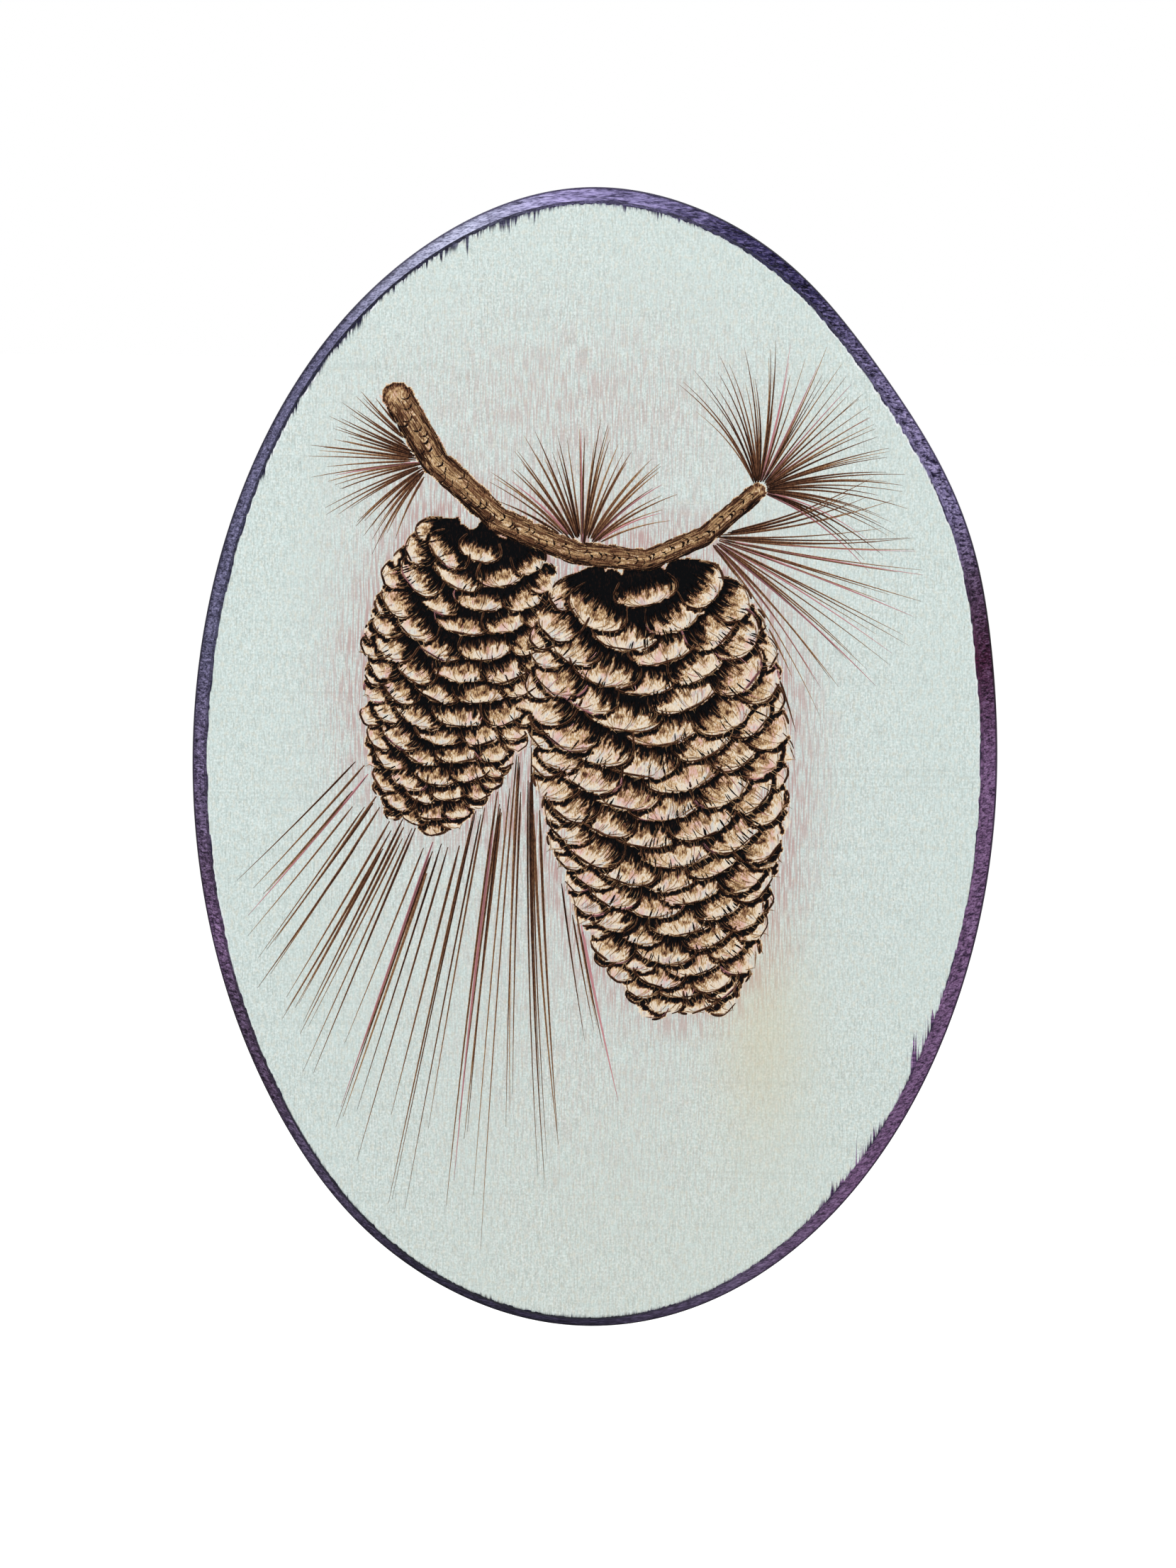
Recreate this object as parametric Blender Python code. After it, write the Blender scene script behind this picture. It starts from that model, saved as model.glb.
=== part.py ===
"""Oval wall plaque of three-ply wood with a bevelled edge, and the sawtooth hanger nailed to its back.

The frame: metres, +Z up, the burnt face looks along -Y and the wall is on the +Y side.
The origin is where a wall nail seats, in the middle notch of the hanger's teeth.
"""

import math

import bmesh
import bpy
from mathutils import Vector

MM = 0.001
GAP = 0.3 * MM  # the clearance kept between pieces that touch or cut each other

# The board
PLAQUE_HEIGHT = 178 * MM
PLAQUE_WIDTH = 126 * MM
FACE_PLY = 1.05 * MM
CORE_PLY = 3.65 * MM
BACK_PLY = 1.05 * MM
BOARD = FACE_PLY + GAP + CORE_PLY + GAP + BACK_PLY
BEVEL_RUN = 2.8 * MM  # how far the face's outline lies inside the back's
BEVEL_DEPTH = 5.75 * MM  # the bevel's depth from the face; the rest of the edge is square
BACK_ARRIS = 0.15 * MM
# Where the sander took off or left wood: degrees from +X towards +Z, spread in degrees, and height off the oval
SANDED_PLACES = ((56, 13, -1.2 * MM), (31, 14, 0.7 * MM), (92, 12, 0.75 * MM), (243, 11, 0.35 * MM))
OUTLINE_POINTS = 120
CAP_RINGS = (0.7, 0.35)  # the flat faces' inner rings, as shares of the outline

# The hanger: a pressed steel strip, flat at its two feet and raised between them
STRIP = 0.8 * MM
STRIP_WIDTH = 8 * MM
RAISE = 1.9 * MM  # from the feet to the raised bar
RAMP = 1.6 * MM  # the length over which the strip climbs
BAR_HALF = 14.5 * MM  # half the raised bar
HANGER_HALF = 22.5 * MM
TOOTH_PITCH = 3.2 * MM
TOOTH_DEPTH = 1.5 * MM
NOTCHES_A_SIDE = 3  # notches on each side of the middle one
FOOT_STEPS = 9  # columns over each rounded foot
BRAD_X = 18.8 * MM

# The brads
HEAD_RADIUS = 1.5 * MM
HEAD_THICKNESS = 0.55 * MM
SHANK_RADIUS = 0.6 * MM
SHANK_LENGTH = 4.4 * MM
TIP_LENGTH = 0.9 * MM
BRAD_SIDES = 20

# Places in the frame
BACK_Y = -(STRIP / 2 + RAISE + GAP)  # the board's back face
FACE_Y = BACK_Y - BOARD
SEAT_BELOW_TOP = 24 * MM  # from the top of the board down to the nail's seat
CENTRE_Z = SEAT_BELOW_TOP - PLAQUE_HEIGHT / 2
FOOT_Y = BACK_Y + GAP  # the feet's inner side
FOOT_Z = STRIP_WIDTH / 2 - TOOTH_DEPTH


def clear_scene():
    """Removes every object of the open file."""
    for obj in list(bpy.data.objects):
        bpy.data.objects.remove(obj, do_unlink=True)


def material(name, color, roughness, metallic=0.0):
    """A Principled material of one colour."""
    made = bpy.data.materials.new(name)
    made.use_nodes = True
    shader = made.node_tree.nodes["Principled BSDF"]
    shader.inputs["Base Color"].default_value = (*color, 1)
    shader.inputs["Roughness"].default_value = roughness
    shader.inputs["Metallic"].default_value = metallic
    return made


def add_object(name, bm, finish):
    """An object that owns the bmesh's mesh, with its faces pointing out."""
    bmesh.ops.recalc_face_normals(bm, faces=bm.faces)
    mesh = bpy.data.meshes.new(name)
    bm.to_mesh(mesh)
    bm.free()
    mesh.materials.append(finish)
    obj = bpy.data.objects.new(name, mesh)
    bpy.context.collection.objects.link(obj)
    return obj


def smooth(obj, angle=30):
    """Shades an object smooth between its sharp edges."""
    obj.data.shade_smooth()
    obj.data.set_sharp_from_angle(angle=math.radians(angle))


def sanded(angle):
    """How far the outline stands off the true oval at an angle in degrees."""
    off = 0.0
    for place, spread, height in SANDED_PLACES:
        away = (angle - place + 180) % 360 - 180
        off += height * math.exp(-((away / spread) ** 2))
    return off


def outline(inset):
    """The board's outline as (x, z) round its centre, moved inwards by inset along its normal."""
    points = []
    for i in range(OUTLINE_POINTS):
        t = 2 * math.pi * i / OUTLINE_POINTS
        x, z = PLAQUE_WIDTH / 2 * math.cos(t), PLAQUE_HEIGHT / 2 * math.sin(t)
        normal = Vector((x / PLAQUE_WIDTH**2, z / PLAQUE_HEIGHT**2)).normalized()
        move = sanded(math.degrees(math.atan2(z, x))) - inset
        points.append((x + normal.x * move, z + normal.y * move))
    return points


def bevel_inset(depth):
    """How far the edge lies inside the back's outline, at a depth from the face."""
    return BEVEL_RUN * max(0.0, 1 - depth / BEVEL_DEPTH)


def ring(bm, points, y):
    """A loop of vertices at one height."""
    return [bm.verts.new((x, y, CENTRE_Z + z)) for x, z in points]


def join_rings(bm, first, second):
    """Quads between two loops of the same length."""
    count = len(first)
    for i in range(count):
        j = (i + 1) % count
        bm.faces.new((first[i], first[j], second[j], second[i]))


def cap(bm, edge, points, y):
    """A flat face of concentric rings inside a loop, closed by a fan."""
    outer = edge
    for share in CAP_RINGS:
        inner = ring(bm, [(x * share, z * share) for x, z in points], y)
        join_rings(bm, outer, inner)
        outer = inner
    middle = bm.verts.new((0, y, CENTRE_Z))
    for i in range(len(outer)):
        bm.faces.new((outer[i], outer[(i + 1) % len(outer)], middle))


def ply(name, levels, finish):
    """One ply as a closed oval sheet. Each level is (depth from the face, inset), front to back."""
    bm = bmesh.new()
    loops = [ring(bm, outline(inset), FACE_Y + depth) for depth, inset in levels]
    for first, second in zip(loops, loops[1:]):
        join_rings(bm, first, second)
    for loop, (depth, inset) in ((loops[0], levels[0]), (loops[-1], levels[-1])):
        cap(bm, loop, outline(inset), FACE_Y + depth)
    return add_object(name, bm, finish)


def round_tool(name, x, z, radius, start, end):
    """A cutter along Y from start to end."""
    bpy.ops.mesh.primitive_cylinder_add(
        vertices=BRAD_SIDES,
        radius=radius,
        depth=end - start,
        location=(x, (start + end) / 2, z),
        rotation=(math.pi / 2, 0, 0),
    )
    tool = bpy.context.object
    tool.name = name
    tool.hide_render = True
    tool.display_type = "WIRE"
    return tool


def cut(obj, tools):
    """Cuts each tool's shape out of an object."""
    for tool in tools:
        boolean = obj.modifiers.new(tool.name, "BOOLEAN")
        boolean.operation = "DIFFERENCE"
        boolean.solver = "EXACT"
        boolean.object = tool


def board(brad_tools):
    """The three plies, with the brads' holes in the back and the core."""
    dyed = material("dyed face veneer", (0.62, 0.70, 0.66), 0.6)
    core_wood = material("dyed core wood", (0.10, 0.06, 0.15), 0.7)
    bare = material("bare back veneer", (0.62, 0.47, 0.30), 0.65)
    core_top = FACE_PLY + GAP
    core_bottom = core_top + CORE_PLY
    back_top = core_bottom + GAP
    ply("face_veneer", [(d, bevel_inset(d)) for d in (0, FACE_PLY)], dyed)
    core = ply("core_ply", [(d, bevel_inset(d)) for d in (core_top, core_bottom)], core_wood)
    back_levels = [
        (back_top, bevel_inset(back_top)),
        (BEVEL_DEPTH, 0),
        (BOARD - BACK_ARRIS, 0),
        (BOARD, BACK_ARRIS),
    ]
    back = ply("back_veneer", back_levels, bare)
    cut(core, brad_tools)
    cut(back, brad_tools)


def strip_columns():
    """The strip's columns from -X to +X: x, the z of its lower and upper edges, and its inner side's y."""
    upper = FOOT_Z + STRIP_WIDTH / 2
    lower = FOOT_Z - STRIP_WIDTH / 2
    half = []
    for i in range(NOTCHES_A_SIDE + 1):
        half.append((i * TOOTH_PITCH, 0.0))
        half.append(((i + 0.5) * TOOTH_PITCH, lower))
    half.append((BAR_HALF, lower))
    columns = [(x, z, upper, FOOT_Y + RAISE) for x, z in half]
    columns.append((BAR_HALF + RAMP, lower, upper, FOOT_Y))
    corner = STRIP_WIDTH / 2
    start = HANGER_HALF - corner
    for i in range(FOOT_STEPS):
        turn = math.radians(84) * i / (FOOT_STEPS - 1)
        rise = corner * math.cos(turn)
        columns.append((start + corner * math.sin(turn), FOOT_Z - rise, FOOT_Z + rise, FOOT_Y))
    mirrored = [(-x, low, high, y) for x, low, high, y in reversed(columns[1:])]
    return mirrored + columns


def hanger(hole_tools):
    """The sawtooth hanger, with a hole in each foot."""
    bm = bmesh.new()
    loops = []
    for x, low, high, y in strip_columns():
        corners = ((y, low), (y, high), (y + STRIP, high), (y + STRIP, low))
        loops.append([bm.verts.new((x, cy, cz)) for cy, cz in corners])
    for first, second in zip(loops, loops[1:]):
        join_rings(bm, first, second)
    for end in (loops[0], loops[-1]):
        bm.faces.new(end)
    made = add_object("sawtooth_hanger", bm, material("zinc-plated steel", (0.55, 0.55, 0.56), 0.35, 1.0))
    cut(made, hole_tools)
    smooth(made)


def brad(name, x, finish):
    """A brad driven into the board from the back: a domed head, a shank and a point, turned about Y."""
    under_head = FOOT_Y + STRIP + GAP
    tip = under_head - SHANK_LENGTH - TIP_LENGTH
    profile = (
        (0, under_head + HEAD_THICKNESS),
        (HEAD_RADIUS * 0.55, under_head + HEAD_THICKNESS * 0.88),
        (HEAD_RADIUS * 0.9, under_head + HEAD_THICKNESS * 0.5),
        (HEAD_RADIUS, under_head + HEAD_THICKNESS * 0.2),
        (HEAD_RADIUS, under_head),
        (SHANK_RADIUS, under_head),
        (SHANK_RADIUS, under_head - SHANK_LENGTH),
        (0, tip),
    )
    bm = bmesh.new()
    verts = [bm.verts.new((radius, y, 0)) for radius, y in profile]
    edges = [bm.edges.new(pair) for pair in zip(verts, verts[1:])]
    bmesh.ops.spin(
        bm, geom=verts + edges, cent=(0, 0, 0), axis=(0, 1, 0), angle=2 * math.pi, steps=BRAD_SIDES
    )
    bmesh.ops.remove_doubles(bm, verts=bm.verts, dist=0.00001)
    made = add_object(name, bm, finish)
    made.location = (x, 0, FOOT_Z)
    smooth(made)


def main():
    """Builds the plaque."""
    clear_scene()
    sides = (("left", -BRAD_X), ("right", BRAD_X))
    hole = SHANK_RADIUS + GAP
    deepest = FOOT_Y + STRIP - SHANK_LENGTH - TIP_LENGTH
    through = FOOT_Y + STRIP + GAP
    wood_tools = [
        round_tool(f"brad_hole_{side}", x, FOOT_Z, hole, deepest, through) for side, x in sides
    ]
    steel_tools = [
        round_tool(f"foot_hole_{side}", x, FOOT_Z, hole, FOOT_Y - GAP / 2, through) for side, x in sides
    ]
    board(wood_tools)
    hanger(steel_tools)
    brass = material("brass brad", (0.72, 0.52, 0.24), 0.3, 1.0)
    for side, x in sides:
        brad(f"hanger_brad_{side}", x, brass)


main()
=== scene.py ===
"""Looks of a wood-burned oval wall plaque.

A pale three-ply board with a purple-dyed bevel carries a burnt drawing of pine cones and needles, and hangs
from a sawtooth strip on its back. The frame is the model's own: metres, +Z up, the drawing looks along -Y.
"""

import logging
import math
from dataclasses import dataclass, field
from enum import Enum

import bpy
import numpy as np
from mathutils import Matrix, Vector, noise


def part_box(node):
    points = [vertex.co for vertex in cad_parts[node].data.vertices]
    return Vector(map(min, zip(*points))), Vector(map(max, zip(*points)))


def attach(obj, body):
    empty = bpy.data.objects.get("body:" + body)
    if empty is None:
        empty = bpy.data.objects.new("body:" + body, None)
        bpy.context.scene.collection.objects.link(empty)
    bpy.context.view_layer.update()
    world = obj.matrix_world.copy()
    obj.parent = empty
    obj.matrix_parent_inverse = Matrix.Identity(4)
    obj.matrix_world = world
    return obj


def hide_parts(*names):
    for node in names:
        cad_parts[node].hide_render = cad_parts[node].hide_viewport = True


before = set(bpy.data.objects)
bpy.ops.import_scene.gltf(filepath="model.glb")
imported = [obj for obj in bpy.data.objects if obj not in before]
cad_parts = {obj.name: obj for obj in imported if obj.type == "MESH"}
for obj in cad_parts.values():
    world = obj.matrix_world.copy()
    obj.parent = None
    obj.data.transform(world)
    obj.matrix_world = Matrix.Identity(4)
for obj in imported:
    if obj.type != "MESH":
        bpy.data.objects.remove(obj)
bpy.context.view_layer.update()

MM = 0.001
GOLDEN_ANGLE = 137.508  # the turn from one scale of a cone to the next, in degrees
HIDDEN = -0.25  # scales that face away from the viewer more than this, as a cosine, aren't drawn
LOG = logging.getLogger("plaque")

Socket = bpy.types.NodeSocket
Value = float | str | tuple | Socket


def linear(hex_color: str) -> tuple[float, float, float, float]:
    """Turns an sRGB colour to linear light.

    Args:
        hex_color: Six hex digits after a hash.

    Returns:
        Red, green, blue and an alpha of 1.
    """
    parts = [int(hex_color[i : i + 2], 16) / 255 for i in (1, 3, 5)]
    return (*(c / 12.92 if c <= 0.04045 else ((c + 0.055) / 1.055) ** 2.4 for c in parts), 1.0)


def smoothstep(low: float, high: float, value: np.ndarray) -> np.ndarray:
    """A smooth 0 to 1 climb between two values; low may be the larger one."""
    share = np.clip((value - low) / (high - low), 0, 1)
    return share * share * (3 - 2 * share)


def wander(points: np.ndarray, size: float, seed: int) -> np.ndarray:
    """A smooth random field.

    Args:
        points: Places, as pairs along the last axis.
        size: The size of its bumps.
        seed: Picks the field.

    Returns:
        A value from -1 to 1 at each place.
    """
    table = np.random.default_rng(seed).uniform(-1, 1, (256, 256))
    at = points / size
    base = np.floor(at).astype(int)
    u, v = np.moveaxis(smoothstep(0, 1, at - base), -1, 0)
    i, j = np.moveaxis(base, -1, 0) % 256
    next_i, next_j = i - 255, j - 255  # the last cell is followed by the first
    low = table[i, j] * (1 - u) + table[next_i, j] * u
    high = table[i, next_j] * (1 - u) + table[next_i, next_j] * u
    return low * (1 - v) + high * v


def follow(path: np.ndarray, at: float | np.ndarray | None = None) -> np.ndarray:
    """Walks along a path.

    Args:
        path: Its points.
        at: Distances from its start.

    Returns:
        The places at these distances, or how far along it each of its points is.
    """
    step = np.r_[0, np.cumsum(np.linalg.norm(np.diff(path, axis=0), axis=1))]
    if at is None:
        return step
    return np.stack([np.interp(at, step, path[:, i]) for i in (0, 1)], -1)


def degrees_round(points: np.ndarray) -> np.ndarray:
    """Each (x, z) point's place round the centre, in degrees from +X towards +Z."""
    return np.degrees(np.arctan2(points[:, 1], points[:, 0]))


# ---------------------------------------------------------------- materials


class Node(Enum):
    """A kind of shader node: its type, the inputs that its values fill in turn, its output and settings."""

    PLACE = ("ShaderNodeTexCoord", (), "Object", {})
    STRETCH = ("ShaderNodeMapping", ("Vector", "Scale"), "Vector", {})
    NOISE = ("ShaderNodeTexNoise", (), 0, {"Scale": 1.0, "Detail": 2.0})
    FIELD = ("ShaderNodeAttribute", (), "Fac", {})
    TINT = ("ShaderNodeAttribute", (), "Color", {})
    RAMP = ("ShaderNodeValToRGB", ("Fac",), "Color", {})
    MIX = ("ShaderNodeMix", (0, 6, 7), 2, {"data_type": "RGBA"})
    EASE = (
        "ShaderNodeMapRange",
        ("Value", "From Min", "From Max", "To Min", "To Max"),
        0,
        {"interpolation_type": "SMOOTHSTEP"},
    )
    PLUS = ("ShaderNodeMath", (0, 1), 0, {"operation": "ADD"})
    MINUS = ("ShaderNodeMath", (0, 1), 0, {"operation": "SUBTRACT"})
    TIMES = ("ShaderNodeMath", (0, 1), 0, {"operation": "MULTIPLY"})
    TIMES_PLUS = ("ShaderNodeMath", (0, 1, 2), 0, {"operation": "MULTIPLY_ADD"})
    LARGER = ("ShaderNodeMath", (0, 1), 0, {"operation": "MAXIMUM"})
    RELIEF = ("ShaderNodeBump", ("Height", "Distance"), 0, {"Strength": 1.0})
    RAY = ("ShaderNodeLightPath", (), "Is Camera Ray", {})

    def __init__(self, label: str, inputs: tuple, output: int | str, settings: dict) -> None:
        """Names the four parts of the value."""
        self.label, self.inputs, self.output, self.settings = label, inputs, output, settings


class Graph:
    """A node tree that nodes are added to."""

    def __init__(self, tree: bpy.types.NodeTree) -> None:
        """Takes the tree, and adds the place that its patterns are laid out from."""
        self.tree = tree
        self.place = self.add(Node.PLACE)

    def add(self, kind: Node, *values: Value, size: tuple = (), stops: tuple = (),
            **named: Value) -> Socket:  # fmt: skip
        """Adds one node with its settings and links.

        Args:
            kind: Its kind.
            values: Numbers, hex colours or sockets for the kind's inputs, in turn.
            size: For a pattern, the size of its blobs along X, Y and Z, in millimetres.
            stops: For a colour ramp, its (position, hex colour) pairs.
            named: Its properties and its other inputs, by name.

        Returns:
            The kind's output.
        """
        node = self.tree.nodes.new(kind.label)
        given = dict(zip(kind.inputs, values))
        if size:
            given["Vector"] = self.add(Node.STRETCH, self.place, tuple(1 / (s * MM) for s in size))
        for name, value in {**kind.settings, **named}.items():
            if name in node.inputs:
                given[name] = value
            else:
                setattr(node, name, value)
        for key, value in given.items():
            if isinstance(value, Socket):
                self.tree.links.new(value, node.inputs[key])
            else:
                node.inputs[key].default_value = linear(value) if isinstance(value, str) else value
        for i, (position, color) in enumerate(stops):
            ramp = node.color_ramp.elements
            stop = ramp[i] if i < 2 else ramp.new(position)
            stop.position, stop.color = position, linear(color)
        return node.outputs[kind.output]

    def layered(self, color: Socket, *layers: tuple, **named: str) -> Socket:
        """Lays colours over a base in turn, each where its pattern runs from one value to another.

        Args:
            color: The base.
            layers: (pattern, where it starts, where it is full, its most, its colour) of each.
            named: The properties of the mixing.

        Returns:
            The colour with the layers on it.
        """
        for pattern, start, full, most, tint in layers:
            share = self.add(Node.EASE, pattern, start, full, 0.0, most)
            color = self.add(Node.MIX, share, color, tint, **named)
        return color


class Surface(Graph):
    """A material, whose patterns end in one Principled shader."""

    def __init__(self, name: str, roughness: float, metallic: float = 0.0, specular: float = 0.5) -> None:
        """Makes the material.

        Args:
            name: What the material is.
            roughness: The shader's roughness where no pattern sets it.
            metallic: 1 for a bare metal.
            specular: The shader's specular level.
        """
        self.material = bpy.data.materials.new(name)
        self.material.use_nodes = True
        super().__init__(self.material.node_tree)
        self.shader = self.tree.nodes["Principled BSDF"]
        self.shader.inputs["Roughness"].default_value = roughness
        self.shader.inputs["Metallic"].default_value = metallic
        self.shader.inputs["Specular IOR Level"].default_value = specular

    def finish(self, color: Socket, roughness: Socket | None = None, height: Socket | None = None,
               depth_mm: float = 0.0) -> bpy.types.Material:  # fmt: skip
        """Links the patterns to the shader.

        Args:
            color: The base colour.
            roughness: The roughness.
            height: The fine relief, 0 to 1.
            depth_mm: The relief's depth.

        Returns:
            The finished material.
        """
        self.tree.links.new(color, self.shader.inputs["Base Color"])
        if roughness is not None:
            self.tree.links.new(roughness, self.shader.inputs["Roughness"])
        if height is not None:
            relief = self.add(Node.RELIEF, height, depth_mm * MM)
            self.tree.links.new(relief, self.shader.inputs["Normal"])
        return self.material


@dataclass(frozen=True)
class BurnFinish:
    """Basswood scorched by a hot wire tip: cream, then gold, umber and a blue-black char.

    Slow strokes crackle the wood, which breaks up their edges and makes the char a little glossier than the
    wood round it.
    """

    cream: str = "#e9dfcd"
    gold: str = "#c2a074"
    umber: str = "#6b4631"
    dark: str = "#24140e"
    pitch: str = "#050608"
    rose: str = "#cf8f97"  # the pink pencil that shows through beside some strokes

    def color(self, graph: Graph, char: Socket) -> Socket:
        """The colour of burnt wood.

        Args:
            graph: The material to add to.
            char: How burnt it is, 0 to 1.

        Returns:
            The colour.
        """
        pale = ((0.0, self.cream), (0.28, self.gold), (0.52, self.umber))
        return graph.add(Node.RAMP, char, stops=(*pale, (0.74, self.dark), (0.92, self.pitch)))

    def stroke(self) -> bpy.types.Material:
        """Makes the material of single strokes.

        Returns:
            The material, which reads the attributes char and rose.
        """
        g = Surface("burnt basswood", 0.5, specular=0.04)
        given = g.add(Node.FIELD, attribute_name="char")
        rose = g.add(Node.FIELD, attribute_name="rose")
        crackle = g.add(Node.NOISE, size=(0.22, 0.22, 0.5), Detail=3.0)
        uneven = g.add(Node.PLUS, g.add(Node.EASE, crackle, 0.25, 0.75, -0.07, 0.07), given)
        pencil = g.add(Node.TIMES, rose, g.add(Node.EASE, given, 0.95, 0.4))
        color = g.add(Node.MIX, pencil, self.color(g, uneven), self.rose)
        rough = g.add(Node.EASE, uneven, 0.55, 1.0, 0.6, 0.42)
        return g.finish(color, rough, crackle, 0.03)


FACE_FIELDS = ("char", "wash", "straw", "near", "along", "bleed", "missed")


@dataclass(frozen=True)
class FaceFinish:
    """Rotary-cut basswood veneer under a thin mint wash, sanded, then burnt; ink-dyed at its rim.

    The fibres run up and down. They show as hairlines under a tenth of a millimetre, drawn here about twice
    as coarse so that they show, and the wash stands a little lighter and darker on them like a fine weave.
    """

    pale: str = "#d4e1dd"
    mid: str = "#c7d4cf"
    deep: str = "#abb7b2"
    bright: str = "#ebf2f0"
    warm: str = "#d2d1c1"
    cool: str = "#c4d8d6"
    pore: str = "#6f7c7a"
    madder: str = "#b3918d"  # a pink-brown wash rubbed into the fibres round the drawing
    straw: str = "#cdbf95"
    ink_deep: str = "#1b1a30"
    pooled: str = "#4f4566"  # what the dye is multiplied by where it lies thick in the fibres, and for painted shade between the torn flecks
    primer: str = "#f6f6fa"  # white ground that the dye and the wash both missed

    def build(self, burn: BurnFinish) -> bpy.types.Material:
        """Makes the material.

        Args:
            burn: The burnt wood's finish.

        Returns:
            The material, which reads the attributes of FACE_FIELDS and dye.
        """
        g = Surface("mint-washed basswood veneer", 0.6, specular=0.06)
        read = {name: g.add(Node.FIELD, attribute_name=name) for name in FACE_FIELDS}
        hair = g.add(Node.NOISE, size=(0.23, 0.6, 2.0), Detail=3.0, Roughness=0.6)
        crackle = g.add(Node.NOISE, size=(0.2, 0.5, 0.5), Detail=3.0)
        started = g.add(Node.EASE, read["char"], 0.0, 0.08)
        washed, burnt = self.washed(g, read, self.bare(g, hair)), self.burnt(g, read, crackle, burn)
        color = g.add(Node.MIX, started, washed, burnt)
        color = g.add(Node.MIX, self.ink(g, read), color, self.rim(g, read, hair))
        rough = g.add(Node.EASE, read["char"], 0.6, 1.0, 0.6, 0.42)
        crisp = g.add(Node.EASE, read["char"], 0.3, 0.9, 0.2, 1.0)
        return g.finish(color, rough, g.add(Node.TIMES_PLUS, crackle, crisp, hair), 0.035)

    def bare(self, g: Graph, hair: Socket) -> Socket:
        """The sanded veneer under its mint wash.

        Args:
            g: The material to add to.
            hair: The hairlines of its fibres.

        Returns:
            Its colour.
        """
        weft = g.add(Node.NOISE, size=(0.55, 1.0, 0.24), Detail=3.0, Roughness=0.6)
        strand = g.add(Node.NOISE, size=(0.6, 1.0, 12.0))
        fleck = g.add(Node.NOISE, size=(0.32, 0.5, 0.36), Roughness=0.55)
        zone = g.add(Node.NOISE, size=(12.0, 9.0, 30.0))
        tinge = g.add(Node.NOISE, size=(0.6, 0.5, 0.9))
        sawn = g.add(Node.NOISE, size=(70.0, 9.0, 0.45), Detail=1.0)
        pore = g.add(Node.NOISE, size=(0.17, 0.5, 0.9), Detail=1.0)
        # painted highlight: bright specks that stand for glints of light off the fibres
        painted_sparkle = g.add(Node.NOISE, size=(0.2, 0.3, 0.24), Detail=1.0)
        color = g.add(Node.RAMP, hair, stops=((0.34, self.deep), (0.48, self.mid), (0.63, self.pale)))
        return g.layered(
            color,
            (weft, 0.52, 0.3, 0.4, self.deep),
            (weft, 0.52, 0.74, 0.4, self.bright),
            (strand, 0.3, 0.72, 0.3, self.pale),
            (fleck, 0.54, 0.3, 0.6, self.deep),
            (fleck, 0.5, 0.7, 0.55, self.bright),
            (zone, 0.35, 0.7, 0.3, self.mid),
            (tinge, 0.5, 0.7, 0.4, self.warm),
            (tinge, 0.5, 0.3, 0.4, self.cool),
            (sawn, 0.58, 0.7, 0.18, self.deep),
            (pore, 0.72, 0.8, 0.6, self.pore),
            (painted_sparkle, 0.7, 0.8, 0.8, self.bright),
        )

    def washed(self, g: Graph, read: dict, bare: Socket) -> Socket:
        """The pink-brown rubbing, the straw stain and the white ground over the bare veneer.

        Args:
            g: The material to add to.
            read: The sockets of the face's fields.
            bare: The veneer's colour.

        Returns:
            The colour with all three.
        """
        streak = g.add(Node.NOISE, size=(0.26, 0.6, 4.0), Detail=1.0)
        rubbed = g.add(Node.TIMES, read["wash"], g.add(Node.EASE, streak, 0.6, 0.37, 0.15, 1.0))
        color = g.add(Node.MIX, rubbed, bare, self.madder)
        color = g.add(Node.MIX, read["straw"], color, self.straw)
        width = g.add(Node.EASE, g.add(Node.NOISE, size=(0.7, 1.2, 2.5)), 0.3, 0.7, 0.05, 0.42)
        white = g.add(Node.EASE, g.add(Node.MINUS, width, read["near"]), -0.1, 0.1)
        return g.add(Node.MIX, g.add(Node.TIMES, white, read["missed"]), color, self.primer)

    def burnt(self, g: Graph, read: dict, crackle: Socket, burn: BurnFinish) -> Socket:
        """The broad burnt shading of the drawing, under its strokes.

        Args:
            g: The material to add to.
            read: The sockets of the face's fields.
            crackle: The fine cracks that burning leaves.
            burn: The burnt wood's finish.

        Returns:
            Its colour, with pink pencil left in the pale places.
        """
        uneven = g.add(Node.EASE, crackle, 0.25, 0.75, -0.22, 0.22)
        started = g.add(Node.EASE, read["char"], 0.02, 0.2)
        char = g.add(Node.TIMES_PLUS, uneven, started, read["char"])
        blush = g.add(Node.EASE, g.add(Node.NOISE, size=(2.2, 3.0, 4.0)), 0.5, 0.68, 0.0, 0.55)
        blush = g.add(Node.TIMES, blush, g.add(Node.EASE, char, 0.4, 0.12))
        return g.add(Node.MIX, blush, burn.color(g, char), burn.rose)

    def rim(self, g: Graph, read: dict, hair: Socket) -> Socket:
        """The dye on the face's rim and its share of the bevel, torn as the core is, with painted shade and a
        painted highlight on the torn flecks.

        Args:
            g: The material to add to.
            read: The sockets of the face's fields.
            hair: The hairlines of the fibres.

        Returns:
            The dye's colour, with a dark line along the arris that is partly ink and partly painted shade
            where the face turns down to the bevel.
        """
        torn = g.add(Node.NOISE, size=(2.6, 2.0, 0.4), Detail=4.0, Roughness=0.68)
        rim = g.add(Node.TINT, attribute_name="dye")
        # the hairlines darken where the dye lies thick; the torn flecks get painted shade, as on the core
        dark = ((hair, 0.62, 0.38, 0.55, self.pooled), (torn, 0.54, 0.38, 0.75, self.pooled))
        rim = g.layered(rim, *dark, blend_type="MULTIPLY")
        # painted highlight on the torn flecks
        rim = g.layered(rim, (torn, 0.5, 0.66, 0.7, rim), blend_type="SCREEN")
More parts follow.
